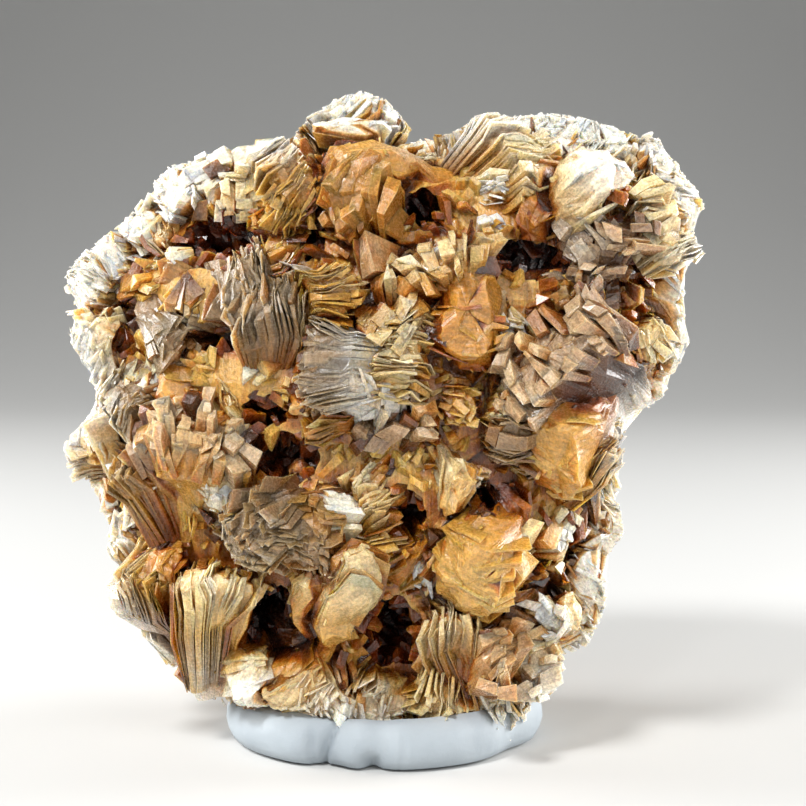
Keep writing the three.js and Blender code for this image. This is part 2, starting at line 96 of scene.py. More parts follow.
# The sheaves of the showing side: root, tip, roll in degrees, width, stack, spread in
# degrees, tone and habit.
SHEAVES = {
    "top_knob": ((-1.5, 1, 47), (-2, -2, 54.3), 5, 8, 3.4, 62, "WWW", "fine"),
    "knob_plate": ((-2.5, -3, 48.5), (-2, -7, 51.5), 75, 6.5, 1.2, 16, "WWW", "smooth"),
    "yellow_band": ((7, -5, 46.5), (-4.5, -9.5, 48), 70, 4, 2.4, 16, "GYG", "smooth"),
    "split_wedge": ((1, -7, 41.5), (-2, -13, 47.5), 38, 4.6, 1.2, 42, "AGT", "plates"),
    "rim_white_low": ((-20, -1, 38), (-26, -5, 37.5), 25, 6, 3.4, 40, "CWW", "fused"),
    "rim_white_mid": ((-19, 0, 40), (-23.5, -5, 39.5), 40, 6, 2.4, 34, "WWW", "fused"),
    "rim_white_high": ((-16, 0, 42), (-20.5, -5, 43), 25, 5, 2.2, 26, "WWW", "fused"),
    "brown_rim_blade": ((-20.5, 7, 37), (-26, 4, 40.5), 60, 4.5, 0.9, 14, "BAA", "plates"),
    "ledge_left": ((-13.5, -1, 44), (-17.5, -6, 46.5), 30, 6, 2.6, 34, "CWW", "fused"),
    "ledge_mid": ((-12.5, 1, 45), (-13, -9, 47), 80, 5.2, 3.2, 22, "CWP", "blocky"),
    "ledge_right": ((-10, 1, 45.5), (-10, -10, 47.5), 80, 5.2, 3.2, 26, "YCC", "blocky"),
    "golden_boss": ((-7, -3, 46), (-7, -12, 46.5), 45, 4.2, 2.8, 40, "GYG", "fine"),
    "hanging_fan": ((-6, -5, 47), (-7, -11, 41.5), 15, 4.4, 1.8, 44, "AGY", "crust"),
    "left_crust_upper": ((-18.5, -1, 27.5), (-23.5, -8, 35.5), 72, 7, 3.4, 28, "SSC", "crust"),
    "left_crust_lower": ((-16.5, -3, 21), (-20, -10, 31.5), 66, 6, 3, 22, "SSS", "crust"),
    "grey_wedge": ((-18, -6, 37), (-15, -12, 31.5), 74, 5, 1.6, 16, "SSS", "crust"),
    "block_sheaf": ((-14, -7, 18), (-14, -15, 29.5), 8, 5.6, 2.2, 36, "YGP", "blocky"),
    "left_point": ((-20, -1, 23), (-27.3, -2, 23.3), 20, 4.5, 2.6, 30, "GYC", "fine"),
    "striated_band": ((-16.5, -6, 15), (-19.5, -10, 26), 0, 4.6, 2.6, 14, "ATS", "fine"),
    "mantle": ((-6.5, -7, 35), (-12.5, -13, 40), 28, 6, 3.6, 30, "ASS", "fine"),
    "upright_fibres": ((-8, -9, 30.5), (-8.5, -15, 39), 0, 5.4, 3.4, 24, "ASS", "fine"),
    "small_gold_fan": ((-6.5, -11, 36), (-1.5, -16, 38.5), 12, 4, 1.5, 38, "AGY", "fine"),
    "rosette_left": ((2.5, -13, 32.4), (-6.5, -16.4, 32.2), 0, 5.4, 3.4, 30, "WSS", "fine"),
    "rosette_right": ((0.5, -10, 32.5), (3.2, -16.6, 33.5), 30, 5, 3.2, 50, "AYC", "fine"),
    "rosette_up": ((0.5, -9, 31.5), (1.5, -16, 37), 25, 5, 2.6, 36, "AGC", "blocky"),
    "rosette_down": ((0, -9, 33), (1, -16.4, 28.6), 25, 4.6, 2.4, 34, "WWP", "blocky"),
    "smile_plates": ((1.5, -9, 29), (1.5, -15, 25.5), 35, 6, 2.2, 36, "KBP", "blocky"),
    "grey_gold_plate": ((3.5, -9, 26.5), (7.5, -15, 22), 68, 5, 1.6, 14, "NCY", "smooth"),
    "gold_fan_low": ((-2.5, -9, 15.5), (0, -14, 24.5), 35, 3.6, 1.6, 26, "AGC", "fine"),
    "cream_tip_low": ((-5, -9, 15.5), (-3, -15, 23.5), 65, 3.4, 1.6, 20, "CCW", "plates"),
    "brown_tongue": ((-2, -9, 22.5), (-11.5, -16.2, 18.4), 62, 7.4, 2.6, 26, "BSS", "crust"),
    "tongue_lobe": ((-4, -9, 22.5), (-6, -16.4, 17), 62, 7, 2.4, 30, "BTS", "crust"),
    "cream_slab": ((-4.6, -9, 8), (-1, -16.6, 19), 68, 4.4, 1.4, 20, "YCC", "smooth"),
    "left_low_arc": ((-15.5, -5, 8.5), (-20.5, -10, 16), 40, 5.4, 2.6, 26, "OAY", "fine"),
    "cream_fan": ((-14, -4, 2.5), (-12.5, -13, 16.5), 4, 4.6, 2, 27, "TYC", "fine"),
    "foot_left": ((-9, -5, 9), (-10.4, -11, 4.4), 50, 5.6, 2.8, 40, "YCW", "smooth"),
    "foot_mid": ((-6, -5, 9), (-5.4, -12, 4.4), 50, 6.4, 3, 42, "AGC", "smooth"),
    "bowl_gold": ((2, -5, 19), (2.5, -14, 16), 55, 5.4, 2.2, 40, "OAG", "fine"),
    "lens_gold": ((11, -7, 20), (6.8, -16.4, 15), 66, 7.6, 3.4, 44, "AGY", "smooth"),
    "lens_ridge": ((8.5, -8, 11.5), (11.4, -14.4, 19), 15, 4, 1.6, 22, "GYC", "plates"),
    "low_striated": ((8.5, -7, 1.5), (4.6, -13, 14), 6, 5.6, 3, 18, "OTC", "fine"),
    "low_block": ((9, -6, 3.5), (9.8, -14.6, 11.4), 72, 4.4, 2.6, 22, "OTP", "blocky"),
    "low_block_right": ((10, -3, 4), (13.5, -11, 10), 40, 5, 2.8, 32, "TPC", "blocky"),
    "low_foot": ((9, -2, 6.5), (9, -10, 3), 40, 6, 3.2, 36, "CWW", "crust"),
    "smooth_amber": ((18, -6, 29), (13.4, -14.6, 23.6), 62, 6.8, 3.2, 34, "OGY", "smooth"),
    "smooth_amber_edge": ((14.5, -6, 20), (18, -12, 27), 15, 5, 2.6, 22, "AGY", "fine"),
    "side_white_high": ((16, 1, 23.5), (19.8, -5, 25.5), 45, 7, 4.2, 44, "CWW", "fused"),
    "side_white_mid": ((16.5, 1, 17.5), (20.3, -5, 17.5), 45, 6, 4, 40, "YCW", "fused"),
    "side_white_low": ((15, 1, 12.5), (18.8, -6, 12.5), 45, 7, 4.6, 50, "CWW", "fused"),
    "side_white_foot": ((14, 1, 10.5), (18, -5, 9), 45, 6, 3.4, 40, "YCW", "fused"),
    "brown_blades": ((8, -7, 23.5), (12, -12, 19), 12, 3, 1.1, 12, "BAT", "fine"),
    "big_fan": ((22.5, -3, 28.5), (11, -17, 33.5), 24, 6.4, 3, 40, "KBP", "blocky"),
    "big_fan_low": ((22, -3, 28), (9, -14, 28), 20, 6, 3, 26, "KBS", "fine"),
    "big_fan_top": ((22, -3, 29), (15, -13, 36), 35, 5, 2.4, 26, "OAP", "blocky"),
    "behind_fan_a": ((15, -5, 33), (11, -12, 38.5), 35, 4, 2, 30, "OAT", "blocky"),
    "crown_fan": ((7, -10, 36), (5.2, -15.6, 42), 4, 3.6, 1.4, 74, "AGC", "blocky"),
    "amber_dome": ((6.8, -8, 35), (7.2, -15.8, 36.8), 80, 6.4, 3.6, 50, "AGG", "smooth"),
    "ridge_right": ((6, -3, 44.5), (13.5, -9, 49.5), 16, 6.4, 4.4, 26, "AGC", "fine"),
    "crest_white_mid": ((14.5, 2, 46), (15, -4, 51.5), 20, 8, 5.4, 66, "CWW", "crust"),
    "crest_white_left": ((9, 2, 46), (8.5, -3, 51), 20, 8, 4.2, 48, "CWW", "crust"),
    "crest_white_right": ((18.5, 2, 46), (19, -4, 50.5), 20, 7, 4.2, 50, "YCW", "crust"),
    "white_log": ((12.6, -6, 41.5), (18.6, -13.4, 48), 28, 5.6, 4.4, 6, "TCW", "smooth"),
    "brown_log_foot": ((15.5, -3, 45.5), (11.5, -11, 43), 60, 5, 3, 22, "CTA", "smooth"),
    "nest_left": ((18, -4, 41.5), (14.8, -13, 42.2), 40, 4.6, 2.6, 30, "KBN", "blocky"),
    "nest_low": ((19, -3, 42), (18.6, -14, 39.6), 90, 6.4, 3, 30, "KBP", "blocky"),
    "nest_right": ((22, -3, 42), (22.4, -12, 42), 135, 5.4, 3, 26, "TSC", "fine"),
    "nest_under": ((18.5, -2, 41), (18, -11, 38.5), 75, 6, 2.6, 26, "BSS", "blocky"),
    "edge_spike": ((21.5, 0, 45), (23.2, -3, 50), 30, 3.4, 2.2, 22, "WWW", "fused"),
    "edge_mid": ((22, 0, 44), (27.2, -4, 44.8), 45, 5, 3.6, 36, "CWW", "fused"),
    "edge_top": ((21.5, 2, 45.5), (25.5, -3, 48), 30, 6, 4.2, 48, "YCW", "crust"),
    "edge_cream": ((21.5, 0, 37.5), (25.6, -5, 37), 55, 5.4, 4.2, 40, "GCW", "smooth"),
    "edge_low": ((22, -2, 34.5), (26.2, -5, 33), 40, 4.4, 2.6, 30, "YCW", "blocky"),
}

# Smaller sheaves that fill the gaps between the large ones.
SMALL_SHEAVES = {
    "band_end": ((2, -4, 46.5), (4.5, -7, 49), 20, 4, 1.6, 24, "YCC", "fine"),
    "wedge_step": ((0.5, -8, 41.5), (-3, -13, 44.5), 30, 3, 0.9, 22, "OAT", "blocky"),
    "cavity_roof_blade": ((-14, -2, 43.5), (-8.5, -7, 44), 60, 2.4, 0.8, 10, "KBT", "smooth"),
    "woody_blades": ((-15, -3, 40), (-18.5, -7, 43), 10, 3, 1.3, 18, "STC", "fine"),
    "small_cream_post": ((-16, -2, 37), (-17, -8, 41), 45, 2.6, 1.4, 20, "CCC", "fine"),
    "wedge_cavity_plate": ((-16.5, -4, 34.5), (-12, -9, 35.5), 50, 4, 1.2, 16, "OAT", "plates"),
    "block_sheaf_left": ((-15.5, -7, 18), (-17.5, -13, 29), 12, 4, 1.6, 16, "TSP", "blocky"),
    "block_sheaf_right": ((-13, -8, 19), (-11, -15, 28.5), 30, 3.6, 1.6, 18, "TPP", "blocky"),
    "left_point_top": ((-20.5, -1, 24), (-25, -4, 26.5), 30, 3.6, 1.4, 18, "CCW", "plates"),
    "left_tall_plate": ((-20.5, -5, 21), (-22, -8, 28.5), 82, 2.6, 1, 8, "CNN", "plates"),
    "left_under_point": ((-20, -1, 20), (-24, -3, 20.3), 45, 3.6, 1.6, 20, "YCW", "smooth"),
    "striated_band_low": ((-17.5, -3, 14), (-22, -6, 18.5), 20, 4, 2.2, 22, "YCW", "fine"),
    "mantle_lip": ((-11, -7, 34.5), (-15.5, -11, 35.5), 30, 4, 1.4, 20, "SSN", "fine"),
    "mantle_top": ((-7.5, -7, 36), (-5.5, -12, 40.5), 20, 5, 2.4, 30, "TSG", "fine"),
    "gold_pocket_top": ((-6, -10, 33.5), (-4.5, -14, 37), 70, 4, 1.6, 20, "GYT", "smooth"),
    "curved_blade": ((2, -10, 34.5), (0.5, -14, 40), 30, 3, 0.8, 16, "AGC", "plates"),
    "under_blades": ((0.5, -10, 28.5), (-6.5, -16, 27), 18, 3, 1, 12, "OAT", "fine"),
    "smile_right": ((2, -10, 24.5), (5, -16, 29), 35, 2.6, 1, 12, "PPP", "blocky"),
    "thin_cross_blade": ((-3.5, -8, 19.5), (-7, -12, 25), 10, 2, 0.7, 14, "AGC", "fine"),
    "pocket_crystals": ((-2.5, -7, 20.5), (-4.5, -12, 25), 40, 3.4, 1.8, 34, "KBP", "blocky"),
    "gold_plate_crust": ((4.5, -8, 23.5), (9, -13, 20.5), 40, 3, 1.4, 16, "YCP", "crust"),
    "cream_slab_left": ((-5, -8, 9.5), (-4.5, -14, 17), 75, 5, 1.8, 22, "GYC", "smooth"),
    "left_low_arc_in": ((-14.5, -5, 9.5), (-18, -10, 17), 30, 4, 1.6, 20, "OAG", "smooth"),
    "left_low_tail": ((-15.5, -3, 6.5), (-19.5, -6, 11), 45, 4, 1.8, 18, "GYC", "fine"),
    "cream_fan_left": ((-14.5, -3, 2.5), (-16.5, -6, 7), 30, 3.4, 1.6, 14, "CWC", "blocky"),
    "cavity_shelf": ((-12, -2, 9.5), (-5, -10, 10.5), 66, 4.2, 1.4, 12, "KBS", "crust"),
    "cavity_shelf_high": ((-13, -1, 13.5), (-5, -7, 13), 60, 4, 1.4, 12, "KBA", "smooth"),
    "skirt_left": ((-5, -6, 7.5), (-3.6, -12.8, 3.8), 55, 5, 2.4, 44, "AYW", "crust"),
    "skirt_mid": ((0, -5, 6.5), (1, -11.4, 3.4), 40, 5.4, 2.6, 46, "TYW", "crust"),
    "skirt_right": ((5, -5, 6.5), (6.4, -12.6, 3.6), 65, 5, 2.6, 44, "AYC", "fine"),
    "skirt_far_right": ((8, -4, 6), (10, -11, 2.8), 35, 4.6, 2.4, 40, "TCW", "crust"),
    "foot_stack": ((-4.5, -6, 9.5), (-2, -10, 4.5), 8, 3.2, 1.4, 14, "AGW", "fine"),
    "foot_post": ((-1.5, -3, 8), (-1.5, -9, 3.5), 20, 3, 1.4, 16, "BPW", "blocky"),
    "foot_back": ((1, 0, 6.5), (1, -6, 3), 60, 4.4, 2, 30, "CCW", "smooth"),
    "foot_back_ray": ((0.5, -2, 5.5), (3.5, -6, 3.5), 30, 2.4, 0.9, 10, "CWW", "plates"),
    "bowl_block": ((5, -8, 14.5), (3.5, -15, 17.5), 75, 2, 1.2, 10, "GCP", "blocky"),
    "brown_wall_plate": ((8, -3, 25), (3.5, -9, 17), 72, 6.4, 2, 16, "BOA", "plates"),
    "gap_wall": ((6.5, 2, 7), (5.5, -3, 3), 30, 4, 2.4, 24, "KBB", "fine"),
    "low_foot_right": ((10.5, -1, 5.5), (12.5, -7, 4), 40, 4.4, 2.6, 30, "YCW", "fine"),
    "side_plate": ((15.5, -2, 21), (20, -5, 22), 40, 2.6, 0.9, 8, "CWW", "plates"),
    "side_cross_plate": ((18, -3, 18), (17, -8, 23.5), 40, 2, 0.8, 12, "YYC", "plates"),
    "side_gold_low": ((13, -4, 8.5), (15.5, -10, 12.5), 60, 4, 1.6, 20, "GYC", "smooth"),
    "white_blocks": ((14, -4, 8.5), (13, -13, 13.5), 55, 3, 1.6, 18, "CWW", "blocky"),
    "thin_low_tip": ((12, -1, 7.5), (17, -3, 7.5), 45, 3, 0.8, 8, "CCW", "plates"),
    "clear_low_tip": ((11.5, 3, 7.5), (15.5, 2, 5.5), 60, 3, 0.9, 10, "CCC", "plates"),
    "brown_hollow_plate": ((8.5, -3, 27), (10.5, -9, 21), 66, 5, 1.6, 16, "BBA", "smooth"),
    "big_fan_edge": ((21.5, -2, 28.5), (19.5, -10, 34), 55, 2.6, 0.9, 10, "TCW", "plates"),
    "blocks_left": ((15, -8, 29), (8, -15, 34), 60, 3.4, 1.4, 18, "ASP", "blocky"),
    "behind_fan_b": ((16.5, -4, 33), (14, -11, 38), 20, 3.4, 1.8, 26, "OAT", "fine"),
    "behind_fan_c": ((19, -4, 32.5), (17, -10, 37), 25, 3.4, 1.8, 26, "OAT", "fine"),
    "crown_slab": ((4.5, -7, 39), (-2, -13, 40.5), 66, 3, 1.6, 10, "GTP", "plates"),
    "crown_white_block": ((6.5, -9, 38.5), (4, -15, 40.5), 60, 2, 1.1, 10, "CWW", "blocky"),
    "crown_small_plates": ((5, -7, 40), (2, -12, 43.5), 40, 2.4, 1.2, 18, "AGT", "plates"),
    "knob_shoulder": ((-3.5, 0, 47.5), (-6, -3, 51), 10, 6, 2.2, 40, "WWW", "fine"),
    "tan_face": ((-18, -3, 36), (-15, -9, 40.5), 80, 4.6, 1.4, 14, "OTT", "smooth"),
    "nest_cream_plate": ((22.5, -3, 42), (21.5, -10, 46), 70, 3.4, 1.4, 16, "YCC", "plates"),
    "edge_oval": ((22, -1, 42), (26.8, -4, 41.3), 45, 3.4, 2.2, 22, "CWW", "fused"),
    "edge_gold": ((20, -4, 35), (23, -10, 33), 30, 4, 2, 18, "GYC", "fine"),
    "edge_pink": ((21, -2, 31), (23.5, -5, 29), 60, 4, 2, 24, "TPC", "smooth"),
}

# The massive body under the sheaves: height, left, right, front and back of each level.
BODY_LEVELS = np.array([
    (1.2, -7, 8, -6.5, 8),
    (8, -15.5, 14.5, -9, 12),
    (17, -19.5, 16.5, -11.6, 14),
    (23, -21.8, 18, -12.6, 14.6),
    (33, -22, 22.6, -12.4, 14.6),
    (38, -21.6, 23.4, -11.8, 13.8),
    (42.5, -18.5, 23.4, -10.2, 12.2),
    (46, -14.5, 21.5, -7.6, 9.6),
    (48.6, -6.5, 17.5, -4, 6.4),
])
BODY_SQUARENESS = 0.82
BODY_LUMP = 0.7
BODY_SIDES = 40
BODY_RINGS = 30

# The cluster's outline from the front, as x and height.
GROWTH_OUTLINE = np.array([
    (-27.6, 23.4), (-25.5, 26), (-23.2, 28.5), (-23.4, 31), (-24.8, 33.4), (-26.4, 35.6),
    (-26.6, 38.2), (-24.9, 40.4), (-22.4, 42.4), (-20.2, 44.2), (-18.8, 46.4), (-17.4, 48),
    (-14.8, 49.3), (-11, 49.8), (-7.4, 50.2), (-5.8, 51.8), (-4, 53.6), (-1.4, 54.5),
    (1, 53.6), (2.6, 51.6), (3.6, 50.8), (6, 50.8), (8.6, 52.2), (12.4, 52.7), (16.1, 52.5),
    (19.4, 51.6), (22, 50.6), (23.2, 51.4), (24.2, 49.5), (26.2, 47.4), (27.4, 44.7),
    (26.4, 43.2), (27, 41.2), (25.4, 38.5), (25.6, 35.2), (26.4, 33.1), (25.4, 30.8),
    (23.4, 28.6), (20.8, 27), (20.4, 24.2), (20.7, 21), (20.9, 17.5), (19.4, 15.3),
    (19.2, 10.6), (18, 7.4), (14.6, 5.2), (12.8, 2.6), (10.3, 0), (-10, 0), (-12.8, 2.4),
    (-15.8, 4.2), (-17.8, 6.6), (-20, 9.8), (-22, 12.3), (-22.8, 17.5), (-24.4, 19.8),
    (-26.8, 21.2),
])

# Hollows between the sheaves: centre, half sizes, colour, and whether the hollow is open to the
# front, cut through whatever sheaves stand before it. The dark colour of a hollow's walls is iron
# stain and painted shade together.
HOLLOWS = {
    "under_the_upper_ledge": ((-12.8, -10, 41.6), (4, 7, 2.3), "O", True),
    "left_of_the_split_wedge": ((-5, -12, 42), (1.3, 5, 1.7), "O", True),
    "beside_the_crown": ((3.6, -10, 44.2), (2.1, 6, 1.8), "O", True),
    "under_the_white_log": ((12, -12, 40.4), (3.4, 6, 1.6), "B", True),
    "heart_of_the_nest": ((19.2, -14, 44.2), (1.7, 5, 1.7), "O", True),
    "behind_the_grey_wedge": ((-12.6, -12, 34.4), (2.5, 5, 1.5), "A", True),
    "left_edge_pocket": ((-20, -9.5, 33.6), (1.3, 4, 1.8), "A", True),
    "beside_the_rosette": ((-8.6, -14, 28.4), (1.9, 5, 1.5), "A", True),
    "under_the_tongue": ((-7.4, -12, 24.6), (3, 4, 2.2), "A", False),
    "heart_of_the_bowl": ((2.4, -13, 20), (1.7, 5, 2.2), "A", True),
    "dark_pit": ((8.6, -12, 21.6), (1.3, 5, 1.1), "B", True),
    "great_lower_hollow": ((1.2, -10, 10.4), (2.9, 7, 3.1), "O", True),
    "left_lower_hollow": ((-8.2, -9, 10.8), (2.7, 5, 3.6), "B", False),
}

# Rows of larger sheaves on the sides and the back.
BACK_ROWS = [
    dict(height=6, count=4, start=25, end=155, reach=3.2),
    dict(height=14, count=5, start=0, end=180, reach=3.8),
    dict(height=22, count=5, start=12, end=168, reach=4),
    dict(height=30, count=6, start=-4, end=184, reach=4),
    dict(height=38, count=6, start=8, end=172, reach=4.2),
    dict(height=45, count=5, start=4, end=176, reach=4.4),
    dict(height=48.6, count=2, start=55, end=125, reach=4.2),
]
BACK_ROOT_DEPTH = 4.2
BACK_COLOURS = ["YCW", "AGY", "TSN", "CCW", "OGT", "CWW", "GYC", "BTC"]
BACK_HABITS = ["fine", "blocky", "crust", "smooth", "fine", "blocky", "fused"]
BED_PROFILE = [(7, 0), (12.6, 2.3), (14.6, 2.1), (17, 1.2), (24, 5), (32, 14), (48, 70)]
BED_BOTTOM = 2.1
PUTTY_GAP = 0.15
PUTTY_CENTRE = (0.6, -1.2)

# How wide a sheaf's plates are at its root, as a share of their width at its tip.
ROOT_WIDTH_SHARE = 0.42
# A sheaf longer than this is built finer: more points round it and along its plates.
LARGE_LENGTH = 7
BUNDLE_STATIONS = (0, 0.2, 0.4, 0.55, 0.7, 0.82, 0.92, 0.98, 1)
BUNDLE_SIDES = 56
SMALL_BUNDLE_SIDES = 20
LEAF_COLUMN = 2.4
LARGEST_LEAF_COLUMNS = 3
FRONT = (0, -1, 0)
UPWARDS = (0, 0, 1)
# How much sheaves differ in how far their plates are bowed, as a share of their width, and in how
# far they twist through the stack; and which shares of their spread plates have at the root and
# gain along their length.
BOW = 0.11
TWIST = math.radians(11)
SPREAD_AT_ROOT = 0.7
SPREAD_GAINED = 0.3

# A sheaf's grown-together part: how square its section is, where its end starts to draw in, over
# which length and how much, how small the ring is that closes it, and how often its ribs and the
# two sizes of its roughness come.
SQUARE_FACE = 0.5
SQUARE_ACROSS = 0.4
END_STARTS = 0.7
END_LENGTH = 0.3
END_DRAWS_IN = 0.62
CLOSING_RING = 0.3
RIB_RATES = (0.8, 7.7, 0.6)
ROUGH_RATE = 0.9
FINE_ROUGH_RATE = 2
FINE_ROUGH = 0.5

# Thin plates: where they are bent, as shares of their length, how uneven their spacing and their
# breaks are, how their brightness differs, how long the shortest is, and how thin their rims are.
LEAF_BENDS = (0.75, 1)
SMALL_LEAF_BENDS = (0.55, 1)
LEAF_SPACING_UNEVEN = 0.65
BREAKS_UNEVEN = 0.5
SHORTEST_LEAF = 0.4
LEAF_RIM = (0.4, 0.85)

# Blocks: how uneven their rows and columns are, and how much the outer ones lean out.
ROWS_UNEVEN = 0.4
COLUMNS_UNEVEN = 0.45
BLOCKS_LEAN = math.radians(6)

# Small crystals on the bare body and in the hollows, and still smaller ones everywhere.
DRUSE_COUNT = 1900
DRUSE_SIZES = (0.6, 1.5)
GRIT_COUNT = 1900
GRIT_SIZES = (0.2, 0.5)

# Sheaves that fill the gaps: how many, the heights they stand at, how long they are in front and
# behind, and how much they lean.
FILLER_COUNT = 490
FILLER_HEIGHTS = (3, 48.5)
FILLER_SIZES = (1.8, 3.2)
FILLER_SIZES_BEHIND = (2.4, 4.2)
FILLER_LEAN = 0.55

# The cluster's half depth, which no crystal passes, and how far within its outline each kind of
# crystal stays.
DEEPEST = 17.6
BUNDLE_MARGIN = 0.3
LEAF_MARGIN = 0.2
BLADE_MARGIN = 0.25
# The middle and the half width of the outline, about which a margin shrinks it.
OUTLINE_MIDDLE = 27
OUTLINE_HALF = 25
# A plate shows when its rim stands out of the grown-together body by this much.
STANDS_OUT = 0.04

# The slow drift of the whole growth and the finer one on top of it: reach and rate.
DRIFT = 1.3
DRIFT_RATE = 0.22
FINE_DRIFT = 0.6
FINE_DRIFT_RATE = 0.6
FINE_DRIFT_START = Vector((31, 7, 53))

# What each face belongs to: a sheaf by its number, the body, a hollow by its number below the
# first, the bed, or a plate by its number above the first.
BODY_MARK = -1
HOLLOW_MARK = -2
BED_MARK = -40
PLATE_MARK = 2000

# How closed in a point is: rays cast, how far, from how far above the skin, and how much they
# lean to its normal; and how much deeper in a plate's foot counts than its rim. The material
# darkens the colour by it, as painted shade of the hollows and of the plates' feet.
SHELTER_RAYS = 12
SHELTER_REACH = 9
SHELTER_START = 0.06
SHELTER_LEAN = 0.6
PLATE_START = 0.3
PLATE_FOOT_SHELTER = 0.3

# Where a sheaf's three colours are, as shares of its length.
COLOUR_STOPS = (0.35, 0.68, 0.97)
# The white crust and painted rim light along the cluster's outline as seen from the front: how
# wide the whitened band is, over which width it fades, how white.
CRUST_AND_RIM_LIGHT_WIDTH = 3.2
CRUST_AND_RIM_LIGHT_FADE = 2.6
CRUST_AND_RIM_LIGHT_WHITENESS = 0.85
# How much one plate differs from the next in brightness, and the limits of brightness.
SHADE_STEP = 0.16
DARKEST = 0.004
LIGHTEST = 0.95


def unit(vectors):
    """Vectors brought to a length of one."""
    return vectors / np.linalg.norm(vectors, axis=-1, keepdims=True)


def scatter(n, series):
    """A number from 0 to 1, the same in the solid, that looks as if drawn by chance."""
    wave = math.sin(n * 12.9898 + series * 78.233) * 43758.5453
    return wave - math.floor(wave)


def body_point(turn, height):
    """A point of the massive body's skin, by its turn round the body and its height."""
    left, right, front, back = (np.interp(height, BODY_LEVELS[:, 0], BODY_LEVELS[:, k])
                                for k in range(1, 5))
    across, deep = math.cos(turn), math.sin(turn)
    lump = BODY_LUMP * math.sin(3 * turn + height * 0.45) * math.cos(2 * turn - height * 0.3)
    x = (left + right) / 2 + ((right - left) / 2 + lump) * math.copysign(
        abs(across) ** BODY_SQUARENESS, across)
    reach = -front if deep < 0 else back
    y = (reach + lump) * math.copysign(abs(deep) ** BODY_SQUARENESS, deep)
    return np.array([x, y, height])


def body_normal(turn, height):
    """The direction that the body's skin faces at a point."""
    step = 0.02
    along = body_point(turn + step, height) - body_point(turn - step, height)
    up = body_point(turn, height + 1) - body_point(turn, height - 1)
    return unit(np.cross(along, up))


class Sheaf:
    """A fan of thin plates: where it grows from and to, and how it is built."""

    def __init__(self, root, tip, roll, width, stack, spread, colours, habit, towards=FRONT):
        self.root = np.array(root, float)
        self.length = np.linalg.norm(np.array(tip, float) - self.root)
        self.out = unit(np.array(tip, float) - self.root)
        towards = np.array(towards, float)
        facing = unit(towards - self.out * towards.dot(self.out))
        side = np.cross(self.out, facing)
        turn = math.radians(roll)
        self.face = side * math.cos(turn) + facing * math.sin(turn)
        self.across = np.cross(self.face, self.out)
        self.width = width
        self.stack = stack
        self.fan = math.radians(spread)
        self.colours = colours
        self.habit = HABITS[habit]
        self.rim = stack + self.length * self.fan
        self.large = self.length > LARGE_LENGTH
        self.bow = random.normal(0, BOW) * width
        self.twist = random.normal(0, TWIST)

    def place(self, along, across_share, face_share):
        """A point of the sheaf, each of its three coordinates as a share of its size.

        The plates part as they grow, are bowed across, and turn a little through the stack.
        """
        grown = ROOT_WIDTH_SHARE + (1 - ROOT_WIDTH_SHARE) * along
        turn = face_share * self.fan / 2 * (SPREAD_AT_ROOT + SPREAD_GAINED * along)
        up = along * self.length * np.cos(turn)
        over = (face_share * self.stack / 2 + along * self.length * np.sin(turn)
                + self.bow * along * across_share ** 2)
        aside = across_share * grown * self.width / 2
        skew = self.twist * face_share * along
        return (self.root + np.multiply.outer(up, self.out)
                + np.multiply.outer(over * np.cos(skew) - aside * np.sin(skew), self.face)
                + np.multiply.outer(over * np.sin(skew) + aside * np.cos(skew), self.across))

    def shares(self, points):
        """The opposite of place: along, across and face shares of points near the sheaf."""
        apart = points - self.root
        along = apart @ self.out
        half = self.stack / 2 + np.maximum(along, 0.3) * math.tan(min(self.fan / 2, 1.2))
        face_share = np.clip(apart @ self.face / half, -1.5, 1.5)
        reach = np.hypot(along, apart @ self.face - face_share * self.stack / 2) / self.length
        grown = ROOT_WIDTH_SHARE + (1 - ROOT_WIDTH_SHARE) * np.clip(reach, 0, 1.2)
        return reach, apart @ self.across / (grown * self.width / 2), face_share


def back_sheaves():
    """The sheaves of the sides and the back, in the same places as in the solid."""
    sheaves = []
    for row_number, row in enumerate(BACK_ROWS):
        for i in range(row["count"]):
            series = 200 + row_number * 20 + i
            share = i / (row["count"] - 1)
            turn = math.radians(row["start"] + (row["end"] - row["start"]) * share
                                + 8 * (scatter(series, 1) - 0.5))
            height = row["height"] + 2.4 * (scatter(series, 2) - 0.5)
            lean = np.array([scatter(series, 3) - 0.5, scatter(series, 4) - 0.5,
                             scatter(series, 5) - 0.35]) * 1.1
            out = unit(body_normal(turn, height) + lean)
            foot = body_point(turn, height)
            sheaves.append(Sheaf(
                foot - out * BACK_ROOT_DEPTH,
                foot + out * row["reach"] * (0.75 + 0.5 * scatter(series, 6)),
                180 * scatter(series, 10), 6 + 3 * scatter(series, 7),
                2.6 + 1.6 * scatter(series, 8), 30 + 30 * scatter(series, 9),
                BACK_COLOURS[(series * 5 + i) % len(BACK_COLOURS)],
                BACK_HABITS[(series * 3 + i) % len(BACK_HABITS)], UPWARDS))
    return sheaves


def filler_sheaves(count):
    """Small sheaves all over the body, which fill the gaps between the large ones."""
    sheaves = []
    for _ in range(count):
        turn = random.uniform(0, 2 * math.pi)
        height = random.uniform(*FILLER_HEIGHTS)
        size = random.uniform(*(FILLER_SIZES_BEHIND if math.sin(turn) > 0 else FILLER_SIZES))
        out = unit(body_normal(turn, height) + random.normal(0, FILLER_LEAN, 3))
        foot = body_point(turn, height)
        if in_a_hollow(foot + out):
            continue
        root = foot - out * random.uniform(2, 3)
        tip = foot + out * size * random.uniform(0.4, 1)
        roll = random.uniform(0, 180)
        width = size * random.uniform(0.8, 1.6)
        stack = size * random.uniform(0.25, 0.5)
        spread = random.uniform(16, 56)
        colours = BACK_COLOURS[random.integers(len(BACK_COLOURS))]
        habit = BACK_HABITS[random.integers(len(BACK_HABITS))]
        sheaves.append(Sheaf(root, tip, roll, width, stack, spread, colours, habit, UPWARDS))
    return sheaves


